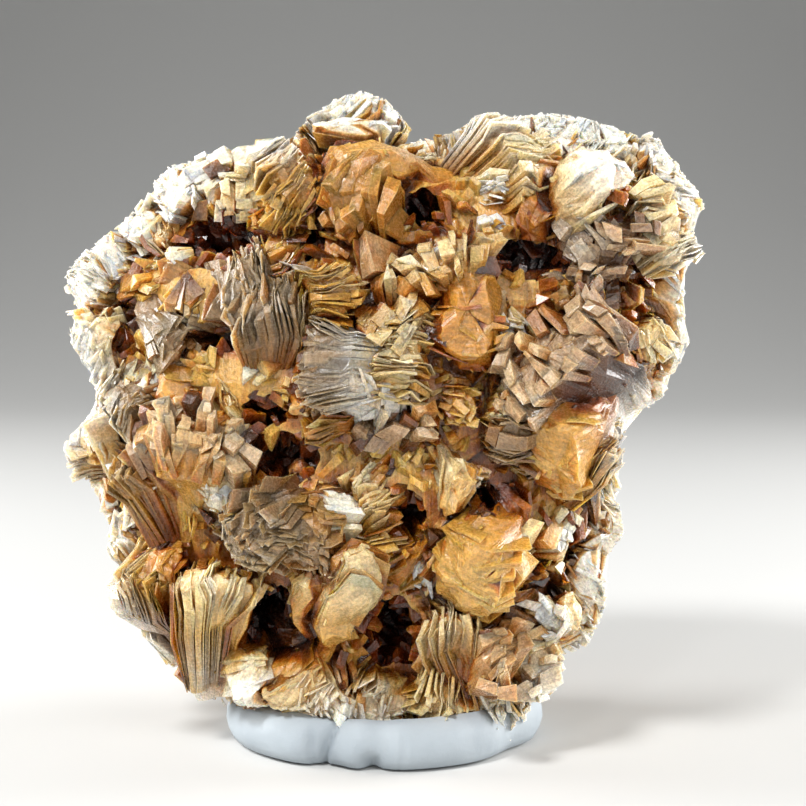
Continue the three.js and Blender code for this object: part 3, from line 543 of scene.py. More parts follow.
def inside_outline(points, margin):
    """Whether points are within the cluster's depth and, from the front, its outline."""
    grown = 1 + margin / OUTLINE_HALF
    x = points[..., 0] * grown
    z = OUTLINE_MIDDLE + (points[..., 2] - OUTLINE_MIDDLE) * grown
    inside = np.zeros(x.shape, bool)
    for (ax, az), (bx, bz) in zip(GROWTH_OUTLINE, np.roll(GROWTH_OUTLINE, -1, axis=0)):
        if az != bz:
            inside ^= ((az > z) != (bz > z)) & (x < ax + (z - az) * (bx - ax) / (bz - az))
    return inside & (np.abs(points[..., 1]) < DEEPEST - margin)


def from_outline(points):
    """How far points are, seen from the front, from the cluster's outline."""
    seen = points[:, (0, 2)]
    nearest = np.full(len(seen), np.inf)
    for start, end in zip(GROWTH_OUTLINE, np.roll(GROWTH_OUTLINE, -1, axis=0)):
        edge = end - start
        share = np.clip((seen - start) @ edge / (edge @ edge), 0, 1)
        nearest = np.minimum(nearest, np.linalg.norm(seen - start - share[:, None] * edge, axis=1))
    return nearest


def in_a_hollow(points, reach=1.6):
    """Whether points are in a hollow; a reach above 1 takes in what is near it too."""
    inside = np.zeros(points.shape[:-1], bool)
    for centre, half_sizes, _, _ in HOLLOWS.values():
        inside |= (((points - np.array(centre)) / np.array(half_sizes)) ** 2).sum(axis=-1) < reach
    return inside


def in_scene(name, data):
    """A new object in the scene."""
    made = bpy.data.objects.new(name, data)
    bpy.context.scene.collection.objects.link(made)
    return made


def mesh_object(name, vertices, faces, marks):
    """A mesh in the scene, with the mark of what each of its faces belongs to."""
    mesh = bpy.data.meshes.new(name)
    mesh.from_pydata(np.asarray(vertices, float).tolist(), [], faces)
    mark = mesh.attributes.new("crystal", "INT", "FACE")
    mark.data.foreach_set("value", np.asarray(marks, np.int32))
    return in_scene(name, mesh)


def mesh_values(items, name, width=1, kind=float):
    """A value of every item of a mesh, or a row of values, as an array."""
    values = np.zeros(len(items) * width, kind)
    items.foreach_get(name, values)
    return values.reshape(-1, width) if width > 1 else values


def face_marks(mesh):
    """What each face of a mesh belongs to."""
    return mesh_values(mesh.attributes["crystal"].data, "value", kind=np.int32)


def closed_skin(rings):
    """A closed skin through rings of points, with a fan of faces on each end ring."""
    count, around = rings.shape[:2]
    faces = []
    for r in range(count - 1):
        for i in range(around):
            a, b = r * around + i, r * around + (i + 1) % around
            faces.append((a, b, b + around, a + around))
    low, high = count * around, count * around + 1
    last = (count - 1) * around
    for i in range(around):
        j = (i + 1) % around
        faces.append((low, j, i))
        faces.append((high, last + i, last + j))
    vertices = np.concatenate([rings.reshape(-1, 3), rings[[0, -1]].mean(axis=1)])
    return vertices, faces


def bent(points):
    """Points moved by a slow, uneven drift, so that nothing in the growth is straight."""
    flat = points.reshape(-1, 3)
    drift = np.array([
        noise.noise_vector(Vector(point) * DRIFT_RATE) * DRIFT
        + noise.noise_vector(Vector(point) * FINE_DRIFT_RATE + FINE_DRIFT_START) * FINE_DRIFT
        for point in flat])
    return points + drift.reshape(points.shape)


def within_outline(roots, points, margin):
    """Draws points back towards their roots until they are within the cluster's outline."""
    apart = points - roots
    share = np.ones(points.shape[:-1])
    outside = ~inside_outline(points, margin)
    for _ in range(20):
        if not outside.any():
            break
        share[outside] *= 0.95
        outside[outside] = ~inside_outline((roots + apart * share[..., None])[outside], margin)
    return roots + apart * share[..., None]


def sheaf_bundle(number, sheaf):
    """The grown-together part of a sheaf, with rounded corners, ribs and a rough skin."""
    habit = sheaf.habit
    sides = BUNDLE_SIDES if sheaf.large else SMALL_BUNDLE_SIDES
    stations = BUNDLE_STATIONS if sheaf.large else BUNDLE_STATIONS[::2]
    turn = -np.arange(sides) * 2 * math.pi / sides
    face_share = np.sign(np.cos(turn)) * np.abs(np.cos(turn)) ** SQUARE_FACE
    across_share = np.sign(np.sin(turn)) * np.abs(np.sin(turn)) ** SQUARE_ACROSS
    face_rate, number_rate, across_rate = RIB_RATES
    ribs = np.array([noise.noise((p * sheaf.rim * face_rate, number * number_rate, q * across_rate))
                     for p, q in zip(face_share, np.sign(across_share))])
    rings = []
    for station in (*stations, 1):
        drawn_in = max(0.0, (station - END_STARTS) / END_LENGTH) ** 2 * END_DRAWS_IN
        pinch = CLOSING_RING if len(rings) == len(stations) else math.sqrt(max(0.0, 1 - drawn_in))
        face, across = face_share * pinch, across_share * pinch
        end = (1 - habit["dome"] * face ** 2 - habit["dome"] / 2 * across ** 2
               - (habit["inset"] - 2 * habit["ribs"] * ribs * pinch) / sheaf.length)
        rings.append(sheaf.place(station * end, across * (habit["wide"] + habit["ribs"] * ribs),
                                 face * habit["body"]))
    rings = bent(np.array(rings))
    for r in range(1, len(rings)):
        for i in range(sides):
            point = Vector(rings[r, i])
            shift = (noise.noise_vector(point * ROUGH_RATE)
                     + noise.noise_vector(point * FINE_ROUGH_RATE) * FINE_ROUGH)
            rings[r, i] += np.array(shift) * habit["rough"]
    vertices, faces = closed_skin(within_outline(sheaf.root, rings, BUNDLE_MARGIN))
    return vertices, faces, number


def leaf_faces(stations, columns):
    """The faces of a thin plate: a grid of points above, the same grid below, and its edges."""
    across = columns + 1
    below = stations * across
    faces = []
    for k in range(stations - 1):
        for j in range(columns):
            a, b = k * across + j, k * across + j + 1
            faces.append((a, a + across, b + across, b))
            faces.append((below + a, below + b, below + b + across, below + a + across))
    last = (stations - 1) * across
    for j in range(columns):
        faces.append((below + last + j, below + last + j + 1, last + j + 1, last + j))
        faces.append((j, j + 1, below + j + 1, below + j))
    for k in range(stations - 1):
        a, b = k * across, k * across + columns
        faces.append((below + b, b, b + across, below + b + across))
        faces.append((below + a, below + a + across, a + across, a))
    return faces


LEAF_FACES = {(stations, columns): leaf_faces(stations, columns)
              for stations in (2, 3) for columns in range(1, LARGEST_LEAF_COLUMNS + 1)}


def broken_across(width, broken):
    """Where a plate is broken across, as pairs of shares from -1 to 1."""
    count = max(1, round(width / broken * random.uniform(0.6, 1.3)))
    middles, halves = uneven_bands(count, BREAKS_UNEVEN)
    return [(middle - half, middle + half) for middle, half in zip(middles, halves)]


def add_leaves(leaves, number, sheaf):
    """The thin plates of a sheaf: crumpled, broken across, each with a thin, uneven rim."""
    habit = sheaf.habit
    leave = np.array((habit["leave"], *LEAF_BENDS) if sheaf.large else SMALL_LEAF_BENDS)
    sheaf_shade = random.normal(0, 0.2)
    plates = max(2, round(sheaf.rim / habit["spacing"]))
    for share, half in zip(*uneven_bands(plates, LEAF_SPACING_UNEVEN)):
        step = noise.noise((share * sheaf.rim * 0.55, number * 5.1, 0))
        plate_short = habit["jitter"] * (0.5 * random.random() + 0.9 * abs(step))
        plate_shade = sheaf_shade + random.normal(0, 0.25)
        for left, right in broken_across(sheaf.width, habit["broken"]):
            if random.random() > habit["kept"]:
                continue
            columns = round((right - left) * sheaf.width / LEAF_COLUMN)
            columns = max(1, min(LARGEST_LEAF_COLUMNS, columns))
            spots = np.linspace(left, right, columns + 1)
            short = (plate_short + habit["jitter"] * 0.6 * random.random()
                     + habit["jitter"] * 0.5 * random.random(columns + 1))
            length_share = (1 - habit["dome"] * share ** 2 - habit["dome"] / 2 * spots ** 2
                            - short / sheaf.length)
            along = leave[:, None] * np.maximum(length_share, SHORTEST_LEAF)
            crumple = np.array([noise.noise((spot * sheaf.width * 0.5, share * sheaf.rim * 0.6,
                                             number * 3.3)) for spot in spots])
            crumple = crumple * habit["crumple"] + habit["apart"] * random.normal()
            middle = share + crumple * leave[:, None] / (sheaf.rim / 2)
            across = (spots + random.normal(0, 0.02)) * random.uniform(0.97, 1.04)
            across = across * np.ones_like(along)
            taper = np.linspace(1, random.uniform(*LEAF_RIM), len(leave))[:, None]
            skins = [sheaf.place(along, across, middle + side * half * taper) for side in (1, -1)]
            leaves.append((np.array(skins).reshape(-1, 3), LEAF_FACES[len(leave), columns], number,
                           plate_shade + random.normal(0, 0.2)))


# A blade's ten corners are its four-sided foot, its rim and the two ends of its slanted ridge.
BLADE_CORNERS = 10
BLADE_FACES = [(0, 3, 2, 1), (0, 1, 5, 8, 4), (3, 7, 9, 6, 2), (0, 4, 7, 3), (1, 2, 6, 5),
               (4, 8, 9, 7), (8, 5, 6, 9)]


def is_blade(vertices):
    """Whether a part is a blade, or else a thin plate."""
    return len(vertices) == BLADE_CORNERS


def fitted(leaves, sheaves):
    """Draws the plates back until they are within the cluster's outline."""
    points = bent(np.concatenate([leaf[0] for leaf in leaves]))
    roots = np.concatenate([np.tile(sheaves[leaf[2]].root, (len(leaf[0]), 1)) for leaf in leaves])
    points = within_outline(roots, points, LEAF_MARGIN)
    ends = np.cumsum([len(leaf[0]) for leaf in leaves])
    return [(part, *leaf[1:]) for part, leaf in zip(np.split(points, ends[:-1]), leaves)]


def shown(tree, part, hollows_too):
    """Whether a plate stands out of the grown-together body, and isn't in a hollow."""
    vertices = part[0]
    quarter = len(vertices) // 4
    rim = vertices[4:] if is_blade(vertices) else vertices[quarter:len(vertices) // 2]
    if not hollows_too and in_a_hollow(rim.mean(axis=0), 1):
        return False
    for corner in rim:
        place, normal, _, _ = tree.find_nearest(Vector(corner))
        if (Vector(corner) - place).dot(normal) > STANDS_OUT:
            return True
    return False



class Blades:
    """Many tapered blades at once, as columns of numbers."""

    def __init__(self):
        self.rows = []

    def add(self, **values):
        self.rows.append(values)

    def column(self, name):
        return np.array([row[name] for row in self.rows], float)

    def corners(self):
        """The corners of every blade."""
        foot, out, face, across = (self.column(n) for n in ("foot", "out", "face", "across"))
        length, foot_wide, tip_wide, foot_thick, tip_thick, ridge, slope_a, slope_b = (
            self.column(n) for n in ("length", "foot_wide", "tip_wide", "foot_thick",
                                     "tip_thick", "ridge", "slope_a", "slope_b"))
        ridge_at = ridge * tip_wide
        low = np.maximum(length - slope_a * (ridge_at + tip_wide), length * 0.3)
        high = np.maximum(length - slope_b * (tip_wide - ridge_at), length * 0.3)

        def corner(along, wide, side):
            thick = foot_thick + (tip_thick - foot_thick) * along / length
            return (foot + out * along[:, None] + across * wide[:, None]
                    + face * (side * thick)[:, None])

        def half(along):
            return foot_wide + (tip_wide - foot_wide) * along / length

        zero = np.zeros(len(low))
        return np.stack([
            corner(zero, -foot_wide, -1), corner(zero, foot_wide, -1),
            corner(zero, foot_wide, 1), corner(zero, -foot_wide, 1),
            corner(low, -half(low), -1), corner(high, half(high), -1),
            corner(high, half(high), 1), corner(low, -half(low), 1),
            corner(length, ridge_at, -1), corner(length, ridge_at, 1)], axis=1)

    def fit(self):
        """Shortens each blade until it is within the cluster."""
        length = self.column("length")
        shortest = length * 0.35
        for _ in range(12):
            for row, value in zip(self.rows, length):
                row["length"] = value
            corners = bent(self.corners())
            fits = inside_outline(corners[:, 4:], BLADE_MARGIN).all(axis=1)
            if fits.all():
                break
            length = np.where(fits | (length < shortest), length, length * 0.9)
        self.rows = [row for row, good in zip(self.rows, fits) if good]

    def parts(self):
        return [(corners, BLADE_FACES, row["sheaf"], row["shade"])
                for corners, row in zip(bent(self.corners()), self.rows)]


def surface_tree(piece):
    """A search tree for a mesh's surface."""
    points = [tuple(vertex.co) for vertex in piece.data.vertices]
    return BVHTree.FromPolygons(points, [tuple(face.vertices) for face in piece.data.polygons])


def uneven_bands(count, unevenness):
    """Splits -1 to 1 into bands of uneven width, and gives their middles and half widths."""
    edges = np.concatenate([[0], np.cumsum(np.exp(random.normal(0, unevenness, count)))])
    edges = 2 * edges / edges[-1] - 1
    return (edges[1:] + edges[:-1]) / 2, (edges[1:] - edges[:-1]) / 2


def add_rim_blades(blades, number, sheaf):
    """The blocks at a sheaf's rim, in rows of plates, each block turned a little by itself."""
    habit = sheaf.habit
    sheaf_shade = random.normal(0, 0.3)
    plates = max(2, round(sheaf.rim / habit["spacing"]))
    for share, half_plate in zip(*uneven_bands(plates, ROWS_UNEVEN)):
        turn = share * sheaf.fan / 2 + math.radians(random.normal(0, 0.8))
        plate_out = sheaf.out * math.cos(turn) + sheaf.face * math.sin(turn)
        plate_face = sheaf.face * math.cos(turn) - sheaf.out * math.sin(turn)
        plate_length = sheaf.length * (1 - habit["dome"] * share ** 2)
        plate_length -= habit["jitter"] * random.random()
        plate_shade = sheaf_shade + random.normal(0, 0.3)
        slide = random.normal(0, 0.04) * sheaf.width
        tilt = math.radians(random.normal(0, habit["twist"]))
        columns = max(1, round(sheaf.width / habit["blade"] * random.uniform(0.6, 1.25)))
        for spot, half_blade in zip(*uneven_bands(columns, COLUMNS_UNEVEN)):
            reach = (plate_length - sheaf.length * habit["dome"] / 2 * spot ** 2
                     - habit["jitter"] * 0.8 * random.random())
            foot_at = max(reach - habit["begin"], 0.15 * sheaf.length)
            grown = ROOT_WIDTH_SHARE + (1 - ROOT_WIDTH_SHARE) * foot_at / sheaf.length
            splay = spot * BLOCKS_LEAN + tilt
            twist = np.radians(random.normal(0, habit["twist"] * 0.7, 3))
            out = plate_out * math.cos(splay) + sheaf.across * math.sin(splay)
            out = unit(out + plate_face * twist[0] + sheaf.across * twist[1])
            face = plate_face + sheaf.across * twist[2]
            face = unit(face - out * face.dot(out))
            if random.random() > habit["kept"]:
                continue
            blades.add(
                foot=(sheaf.root + sheaf.face * share * sheaf.stack / 2 + plate_out * foot_at
                      + sheaf.across * (spot * sheaf.width * grown / 2 + slide)),
                out=out, face=face, across=np.cross(face, out), length=reach - foot_at,
                foot_wide=half_blade * sheaf.width / 2 * grown * 1.04,
                tip_wide=half_blade * sheaf.width / 2 * 1.03,
                foot_thick=(sheaf.stack + foot_at * sheaf.fan) * half_plate / 2 * 1.05,
                tip_thick=sheaf.rim * half_plate / 2 * 1.02, ridge=random.uniform(-0.9, 0.9),
                slope_a=random.uniform(*habit["slope"]), slope_b=random.uniform(*habit["slope"]),
                sheaf=number, shade=plate_shade + random.normal(0, 0.35))


def add_druse(blades, piece, count, sizes, everywhere):
    """Small crystals over the bare body and its hollows, or everywhere, standing at a slant."""
    mesh = piece.data
    mesh.calc_loop_triangles()
    points = mesh_values(mesh.vertices, "co", 3)
    triangles = mesh_values(mesh.loop_triangles, "vertices", 3, np.int32)
    marks = face_marks(mesh)[mesh_values(mesh.loop_triangles, "polygon_index", kind=np.int32)]
    a, b, c = (points[triangles[:, k]] for k in range(3))
    normal = np.cross(b - a, c - a)
    area = np.linalg.norm(normal, axis=1) * (everywhere | (marks < 0)) + 1e-12
    chosen = random.choice(len(area), count, p=area / area.sum())
    u, v = random.random(count), random.random(count)
    u, v = np.where(u + v > 1, 1 - u, u), np.where(u + v > 1, 1 - v, v)
    places = a[chosen] + (b - a)[chosen] * u[:, None] + (c - a)[chosen] * v[:, None]
    for place, way, mark in zip(places, unit(normal[chosen]), marks[chosen]):
        out = unit(way + random.normal(0, 0.5, 3))
        face = unit(np.cross(out, random.normal(0, 1, 3)))
        size = random.uniform(*sizes)
        place = place - (bent(place) - place)
        blades.add(
            foot=place - out * 0.5 * size, out=out, face=face, across=np.cross(face, out),
            length=size * random.uniform(0.9, 1.7), foot_wide=0.3 * size,
            tip_wide=0.46 * size, foot_thick=0.14 * size, tip_thick=0.2 * size,
            ridge=random.uniform(-0.9, 0.9), slope_a=random.uniform(0.05, 0.6),
            slope_b=random.uniform(0.05, 0.6), sheaf=mark, shade=random.normal(0, 0.5))


def layers_apart(count, pairs):
    """Sorts pieces into layers in which no two touch, so that a layer is joined in one go."""
    pairs = pairs[np.argsort(pairs[:, 0], kind="stable")]
    starts = np.searchsorted(pairs[:, 0], np.arange(count + 1))
    layer = np.full(count, -1)
    for i in range(count):
        taken = set(layer[pairs[starts[i]:starts[i + 1], 1]])
        free = 0
        while free in taken:
            free += 1
        layer[i] = free
    return [np.nonzero(layer == k)[0] for k in range(layer.max() + 1)]


def layer_object(name, parts):
    """One mesh of many closed parts, each given as its vertices, faces and mark."""
    vertices, faces, marks, first = [], [], [], 0
    for part_vertices, part_faces, mark in parts:
        vertices.append(part_vertices)
        faces += [tuple(first + v for v in face) for face in part_faces]
        marks += [mark] * len(part_faces)
        first += len(part_vertices)
    return mesh_object(name, np.concatenate(vertices), faces, marks)


def cut(piece, other, operation):
    """Joins or cuts two closed meshes, keeping which crystal each face belongs to."""
    tool = piece.modifiers.new("growth", "BOOLEAN")
    tool.operation = operation
    tool.solver = "MANIFOLD"
    tool.object = other
    evaluated = piece.evaluated_get(bpy.context.evaluated_depsgraph_get())
    mesh = bpy.data.meshes.new_from_object(evaluated)
    joined = in_scene(piece.name, mesh)
    for old in (piece, other):
        old_mesh = old.data
        bpy.data.objects.remove(old)
        bpy.data.meshes.remove(old_mesh)
    return joined


def joined_in_pairs(pieces):
    """Joins many closed meshes, the smallest first, so that each join stays quick."""
    pieces = list(pieces)
    while len(pieces) > 1:
        pieces.sort(key=lambda piece: len(piece.data.polygons))
        pieces = pieces[2:] + [cut(pieces[0], pieces[1], "UNION")]
    return pieces[0]


def massive_body():
    """The lumpy body that the sheaves grow from."""
    heights = np.linspace(BODY_LEVELS[0, 0], BODY_LEVELS[-1, 0], BODY_RINGS)
    turns = np.arange(BODY_SIDES) * 2 * math.pi / BODY_SIDES
    rings = np.array([[body_point(turn, height) for turn in turns] for height in heights])
    vertices, faces = closed_skin(rings)
    return mesh_object("body", vertices, faces, [BODY_MARK] * len(faces))


def hollow(number, centre, half_sizes):
    """A hollow's form: an uneven ball, stretched to its half sizes."""
    turns = np.arange(22) * 2 * math.pi / 22
    rises = -math.pi / 2 + math.pi * (np.arange(13) + 0.35) / 12.7
    ball = np.stack([np.outer(np.cos(rises), np.cos(turns)), np.outer(np.cos(rises), np.sin(turns)),
                     np.outer(np.sin(rises), np.ones(22))], axis=-1)
    lumps = np.array([[noise.noise(Vector(point) * 2.2 + Vector((number * 3.1, 0, 0)))
                       for point in row] for row in ball])
    rings = np.array(centre) + ball * (1 + 0.3 * lumps[..., None]) * np.array(half_sizes)
    vertices, faces = closed_skin(rings)
    return mesh_object("hollow", vertices, faces, [HOLLOW_MARK - number] * len(faces))


def bed():
    """What the cluster's foot is pressed down to: the top of the putty."""
    turns = np.arange(36) * 2 * math.pi / 36
    rings = np.array([[(PUTTY_CENTRE[0] + radius * math.cos(turn),
                        PUTTY_CENTRE[1] + radius * math.sin(turn), BED_BOTTOM + height)
                       for turn in turns] for radius, height in BED_PROFILE])
    vertices, faces = closed_skin(rings)
    return mesh_object("bed", vertices, faces, [BED_MARK] * len(faces))


def grown_cluster(sheaves):
    """The grown-together cluster, and the plates of its large sheaves and of all the others."""
    bundles = [sheaf_bundle(number, sheaf) for number, sheaf in enumerate(sheaves)]
    boxes = [(bundle[0].min(axis=0), bundle[0].max(axis=0)) for bundle in bundles]
    pairs = np.array([(a, b) for a in range(len(sheaves)) for b in range(a)
                      if (boxes[a][0] < boxes[b][1]).all() and (boxes[b][0] < boxes[a][1]).all()])
    layers = layers_apart(len(sheaves), pairs)
    mass = massive_body()
    for number, (centre, half_sizes, _, _) in enumerate(HOLLOWS.values()):
        mass = cut(mass, hollow(number, centre, half_sizes), "DIFFERENCE")
    mass = joined_in_pairs([mass] + [layer_object("bundles", [bundles[i] for i in layer])
                                     for layer in layers])
    for number, (centre, half_sizes, _, opened) in enumerate(HOLLOWS.values()):
        if opened:
            mass = cut(mass, hollow(number, centre, half_sizes), "DIFFERENCE")
    large, small, druse = Blades(), Blades(), Blades()
    large_leaves, small_leaves = [], []
    for number, sheaf in enumerate(sheaves):
        if "blade" in sheaf.habit:
            add_rim_blades(large if number < LARGE_SHEAVES else small, number, sheaf)
        else:
            add_leaves(large_leaves if number < LARGE_SHEAVES else small_leaves, number, sheaf)
    add_druse(druse, mass, DRUSE_COUNT, DRUSE_SIZES, False)
    add_druse(druse, mass, GRIT_COUNT, GRIT_SIZES, True)
    for blades in (large, small, druse):
        blades.fit()
    tree = surface_tree(mass)
    main, rest = ([part for part in fitted(leaves, sheaves) + blades.parts()
                   if shown(tree, part, False)]
                  for leaves, blades in ((large_leaves, large), (small_leaves, small)))
    rest += [part for part in druse.parts() if shown(tree, part, True)]
    cluster = cut(mass, bed(), "INTERSECT")
    return cluster, main, rest


sheaves = [Sheaf(*row) for table in (SHEAVES, SMALL_SHEAVES) for row in table.values()]
LARGE_SHEAVES = len(sheaves)
sheaves += back_sheaves() + filler_sheaves(FILLER_COUNT)
cluster, main_parts, small_parts = grown_cluster(sheaves)
rim, small_rim = (layer_object(name, [(part[0], part[1], PLATE_MARK + k)
                                      for k, part in enumerate(parts)])
                  for name, parts in (("plates", main_parts), ("small plates", small_parts)))


def shelter(tree, points, normals):
    """How closed in each point is, from 0 in the open to 1 deep in a hollow."""
    ways = unit(random.normal(0, 1, (SHELTER_RAYS, 3)))
    closed = np.zeros(len(points))
    for k in range(len(points)):
        normal = Vector(normals[k])
        start = Vector(points[k]) + normal * SHELTER_START
        for way in ways:
            ray = Vector(way)
            if ray.dot(normal) < 0:
                ray = -ray
            ray = (ray + normal * SHELTER_LEAN).normalized()
            apart = tree.ray_cast(start, ray, SHELTER_REACH)[3]
            if apart is not None:
                closed[k] += 1 - apart / SHELTER_REACH
    return closed / len(ways)


def plate_shelter(tree, parts):
    """The shelter of every vertex of the plates: each plate's rim, and deeper at its foot."""
    spots, normals, rises = [], [], []
    for part in parts:
        vertices = part[0]
        blade = is_blade(vertices)
        half = len(vertices) // 2
        foot = vertices[:4].mean(axis=0) if blade else vertices[:2].mean(axis=0)
        tip = vertices[4:].mean(axis=0) if blade else vertices[half - 2:half].mean(axis=0)
        place, normal, _, _ = tree.find_nearest(Vector(tip))
        spots.append(place + normal * PLATE_START)
        normals.append(normal)
        apart = (vertices - foot) @ unit(tip - foot)
        rises.append(np.clip(apart / np.linalg.norm(tip - foot), 0, 1))
    closed = shelter(tree, spots, normals)
    return np.concatenate([value + (1 - rise) * PLATE_FOOT_SHELTER
                           for value, rise in zip(closed, rises)])


def crystal_colours(points, owner, shade, sheaves):
    """The growth coordinates and the colour of points that belong to sheaves or hollows."""
    grain = points.copy()
    colour = np.tile(MINERAL_COLOURS["Y"], (len(points), 1))
    # Hollow walls take their dark colour: iron stain and painted shade.
    for number, (_, _, letter, _) in enumerate(HOLLOWS.values()):
        colour[owner == HOLLOW_MARK - number] = MINERAL_COLOURS[letter]
    for number, sheaf in enumerate(sheaves):
        mine = owner == number
        if not mine.any():
            continue
        along, across, face_share = sheaf.shares(points[mine])
        grain[mine] = np.stack([face_share * sheaf.rim / 2 + number * 17, across * sheaf.width / 2,
                                along * sheaf.length], axis=1)
        stops = np.array([MINERAL_COLOURS[letter] for letter in sheaf.colours])
        colour[mine] = np.stack([np.interp(np.clip(along, 0, 1), COLOUR_STOPS, stops[:, k])
                                 for k in range(3)], axis=1)
    # White crust and painted rim light: colour turns whiter near the outline seen from the front.
    from_edge = (CRUST_AND_RIM_LIGHT_WIDTH - from_outline(points)) / CRUST_AND_RIM_LIGHT_FADE
    crust_and_rim_light = (np.clip(from_edge, 0, 1) * CRUST_AND_RIM_LIGHT_WHITENESS)[:, None]
    colour = colour * (1 - crust_and_rim_light) + MINERAL_COLOURS["W"] * crust_and_rim_light
    return grain, np.clip(colour * np.exp(SHADE_STEP * shade)[:, None], DARKEST, LIGHTEST)


def paint_crystals(piece, tree, sheaves, parts):
    """Gives every face corner its growth coordinates and colour, and every vertex its shelter,
    which the material turns into painted shade.
    """
    mesh = piece.data
    points = mesh_values(mesh.vertices, "co", 3)
    marks = np.repeat(face_marks(mesh), mesh_values(mesh.polygons, "loop_total", kind=np.int32))
    of_plate = marks >= PLATE_MARK
    plate = np.maximum(marks - PLATE_MARK, 0)
    owner = np.where(of_plate, np.array([part[2] for part in parts] or [0])[plate], marks)
    shade = np.where(of_plate, np.array([part[3] for part in parts] or [0])[plate], 0)
    corners = points[mesh_values(mesh.loops, "vertex_index", kind=np.int32)]
    grain, colour = crystal_colours(corners, owner, shade, sheaves)
    tint = mesh.attributes.new("tint", "FLOAT_COLOR", "CORNER")
    tint.data.foreach_set("color", np.insert(colour, 3, 1, axis=1).ravel())
    growth = mesh.attributes.new("growth", "FLOAT_VECTOR", "CORNER")
    growth.data.foreach_set("vector", grain.ravel())
    normals = mesh_values(mesh.vertex_normals, "vector", 3)
    # The shelter becomes painted shade in the material: darker the more closed in.
    closed = mesh.attributes.new("closed_in", "FLOAT", "POINT")
    closed.data.foreach_set("value", plate_shelter(tree, parts) if parts
                            else shelter(tree, points, normals))
    mesh.attributes.remove(mesh.attributes["crystal"])
    mesh.transform(Matrix.Scale(MM, 4))


tree = surface_tree(cluster)
for piece, name, parts in ((cluster, "barite_crystals", []), (rim, "barite_rim_plates", main_parts),
                           (small_rim, "barite_small_plates", small_parts)):
    paint_crystals(piece, tree, sheaves, parts)
    piece.name = name
    piece.data.name = name
    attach(piece, "root")
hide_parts("barite_cluster")


def add_node(material, kind, settings=None, **links):
    """Adds a node with its settings, and links its inputs to other nodes' outputs."""
    node = material.node_tree.nodes.new(kind)
    for name, value in (settings or {}).items():
        if hasattr(node, name) and name not in node.inputs:
            setattr(node, name, value)
        else:
            node.inputs[name].default_value = value
    for name, source in links.items():
        key = int(name[1:]) if name[0] == "i" and name[1:].isdigit() else name.replace("_", " ")
        material.node_tree.links.new(source, node.inputs[key])
    return node


def new_material(name):
    """An empty material with nodes."""
    material = bpy.data.materials.new(name)
    material.use_nodes = True
    material.node_tree.nodes.clear()
    return material


# How often each pattern of the crystals repeats in a millimetre: the striae across the plates,
# along them and from root to tip, the grit on their skin and the clouds that make the iron stain
# and the painted shade uneven. Real striae and grit are finer; they are drawn as coarse as they
# need to be to show.
STRIAE_PER_MM = (3.6, 0.6, 0.2)
GRIT_PER_MM = 4.2
CLOUDS_PER_MM = 0.42
# Painted shade mixed with the iron stain, from open faces to deep in the hollows, by how closed in
# a point is: the colour is multiplied darker and browner where shade falls.
SHADE_AND_STAIN_IN_THE_OPEN = (0.14, "#FFFFFF")
SHADE_AND_STAIN_BETWEEN = ((0.28, "#F4CF92"), (0.44, "#B8803F"))
SHADE_AND_STAIN_IN_THE_DEEP = (0.68, "#5A391B")


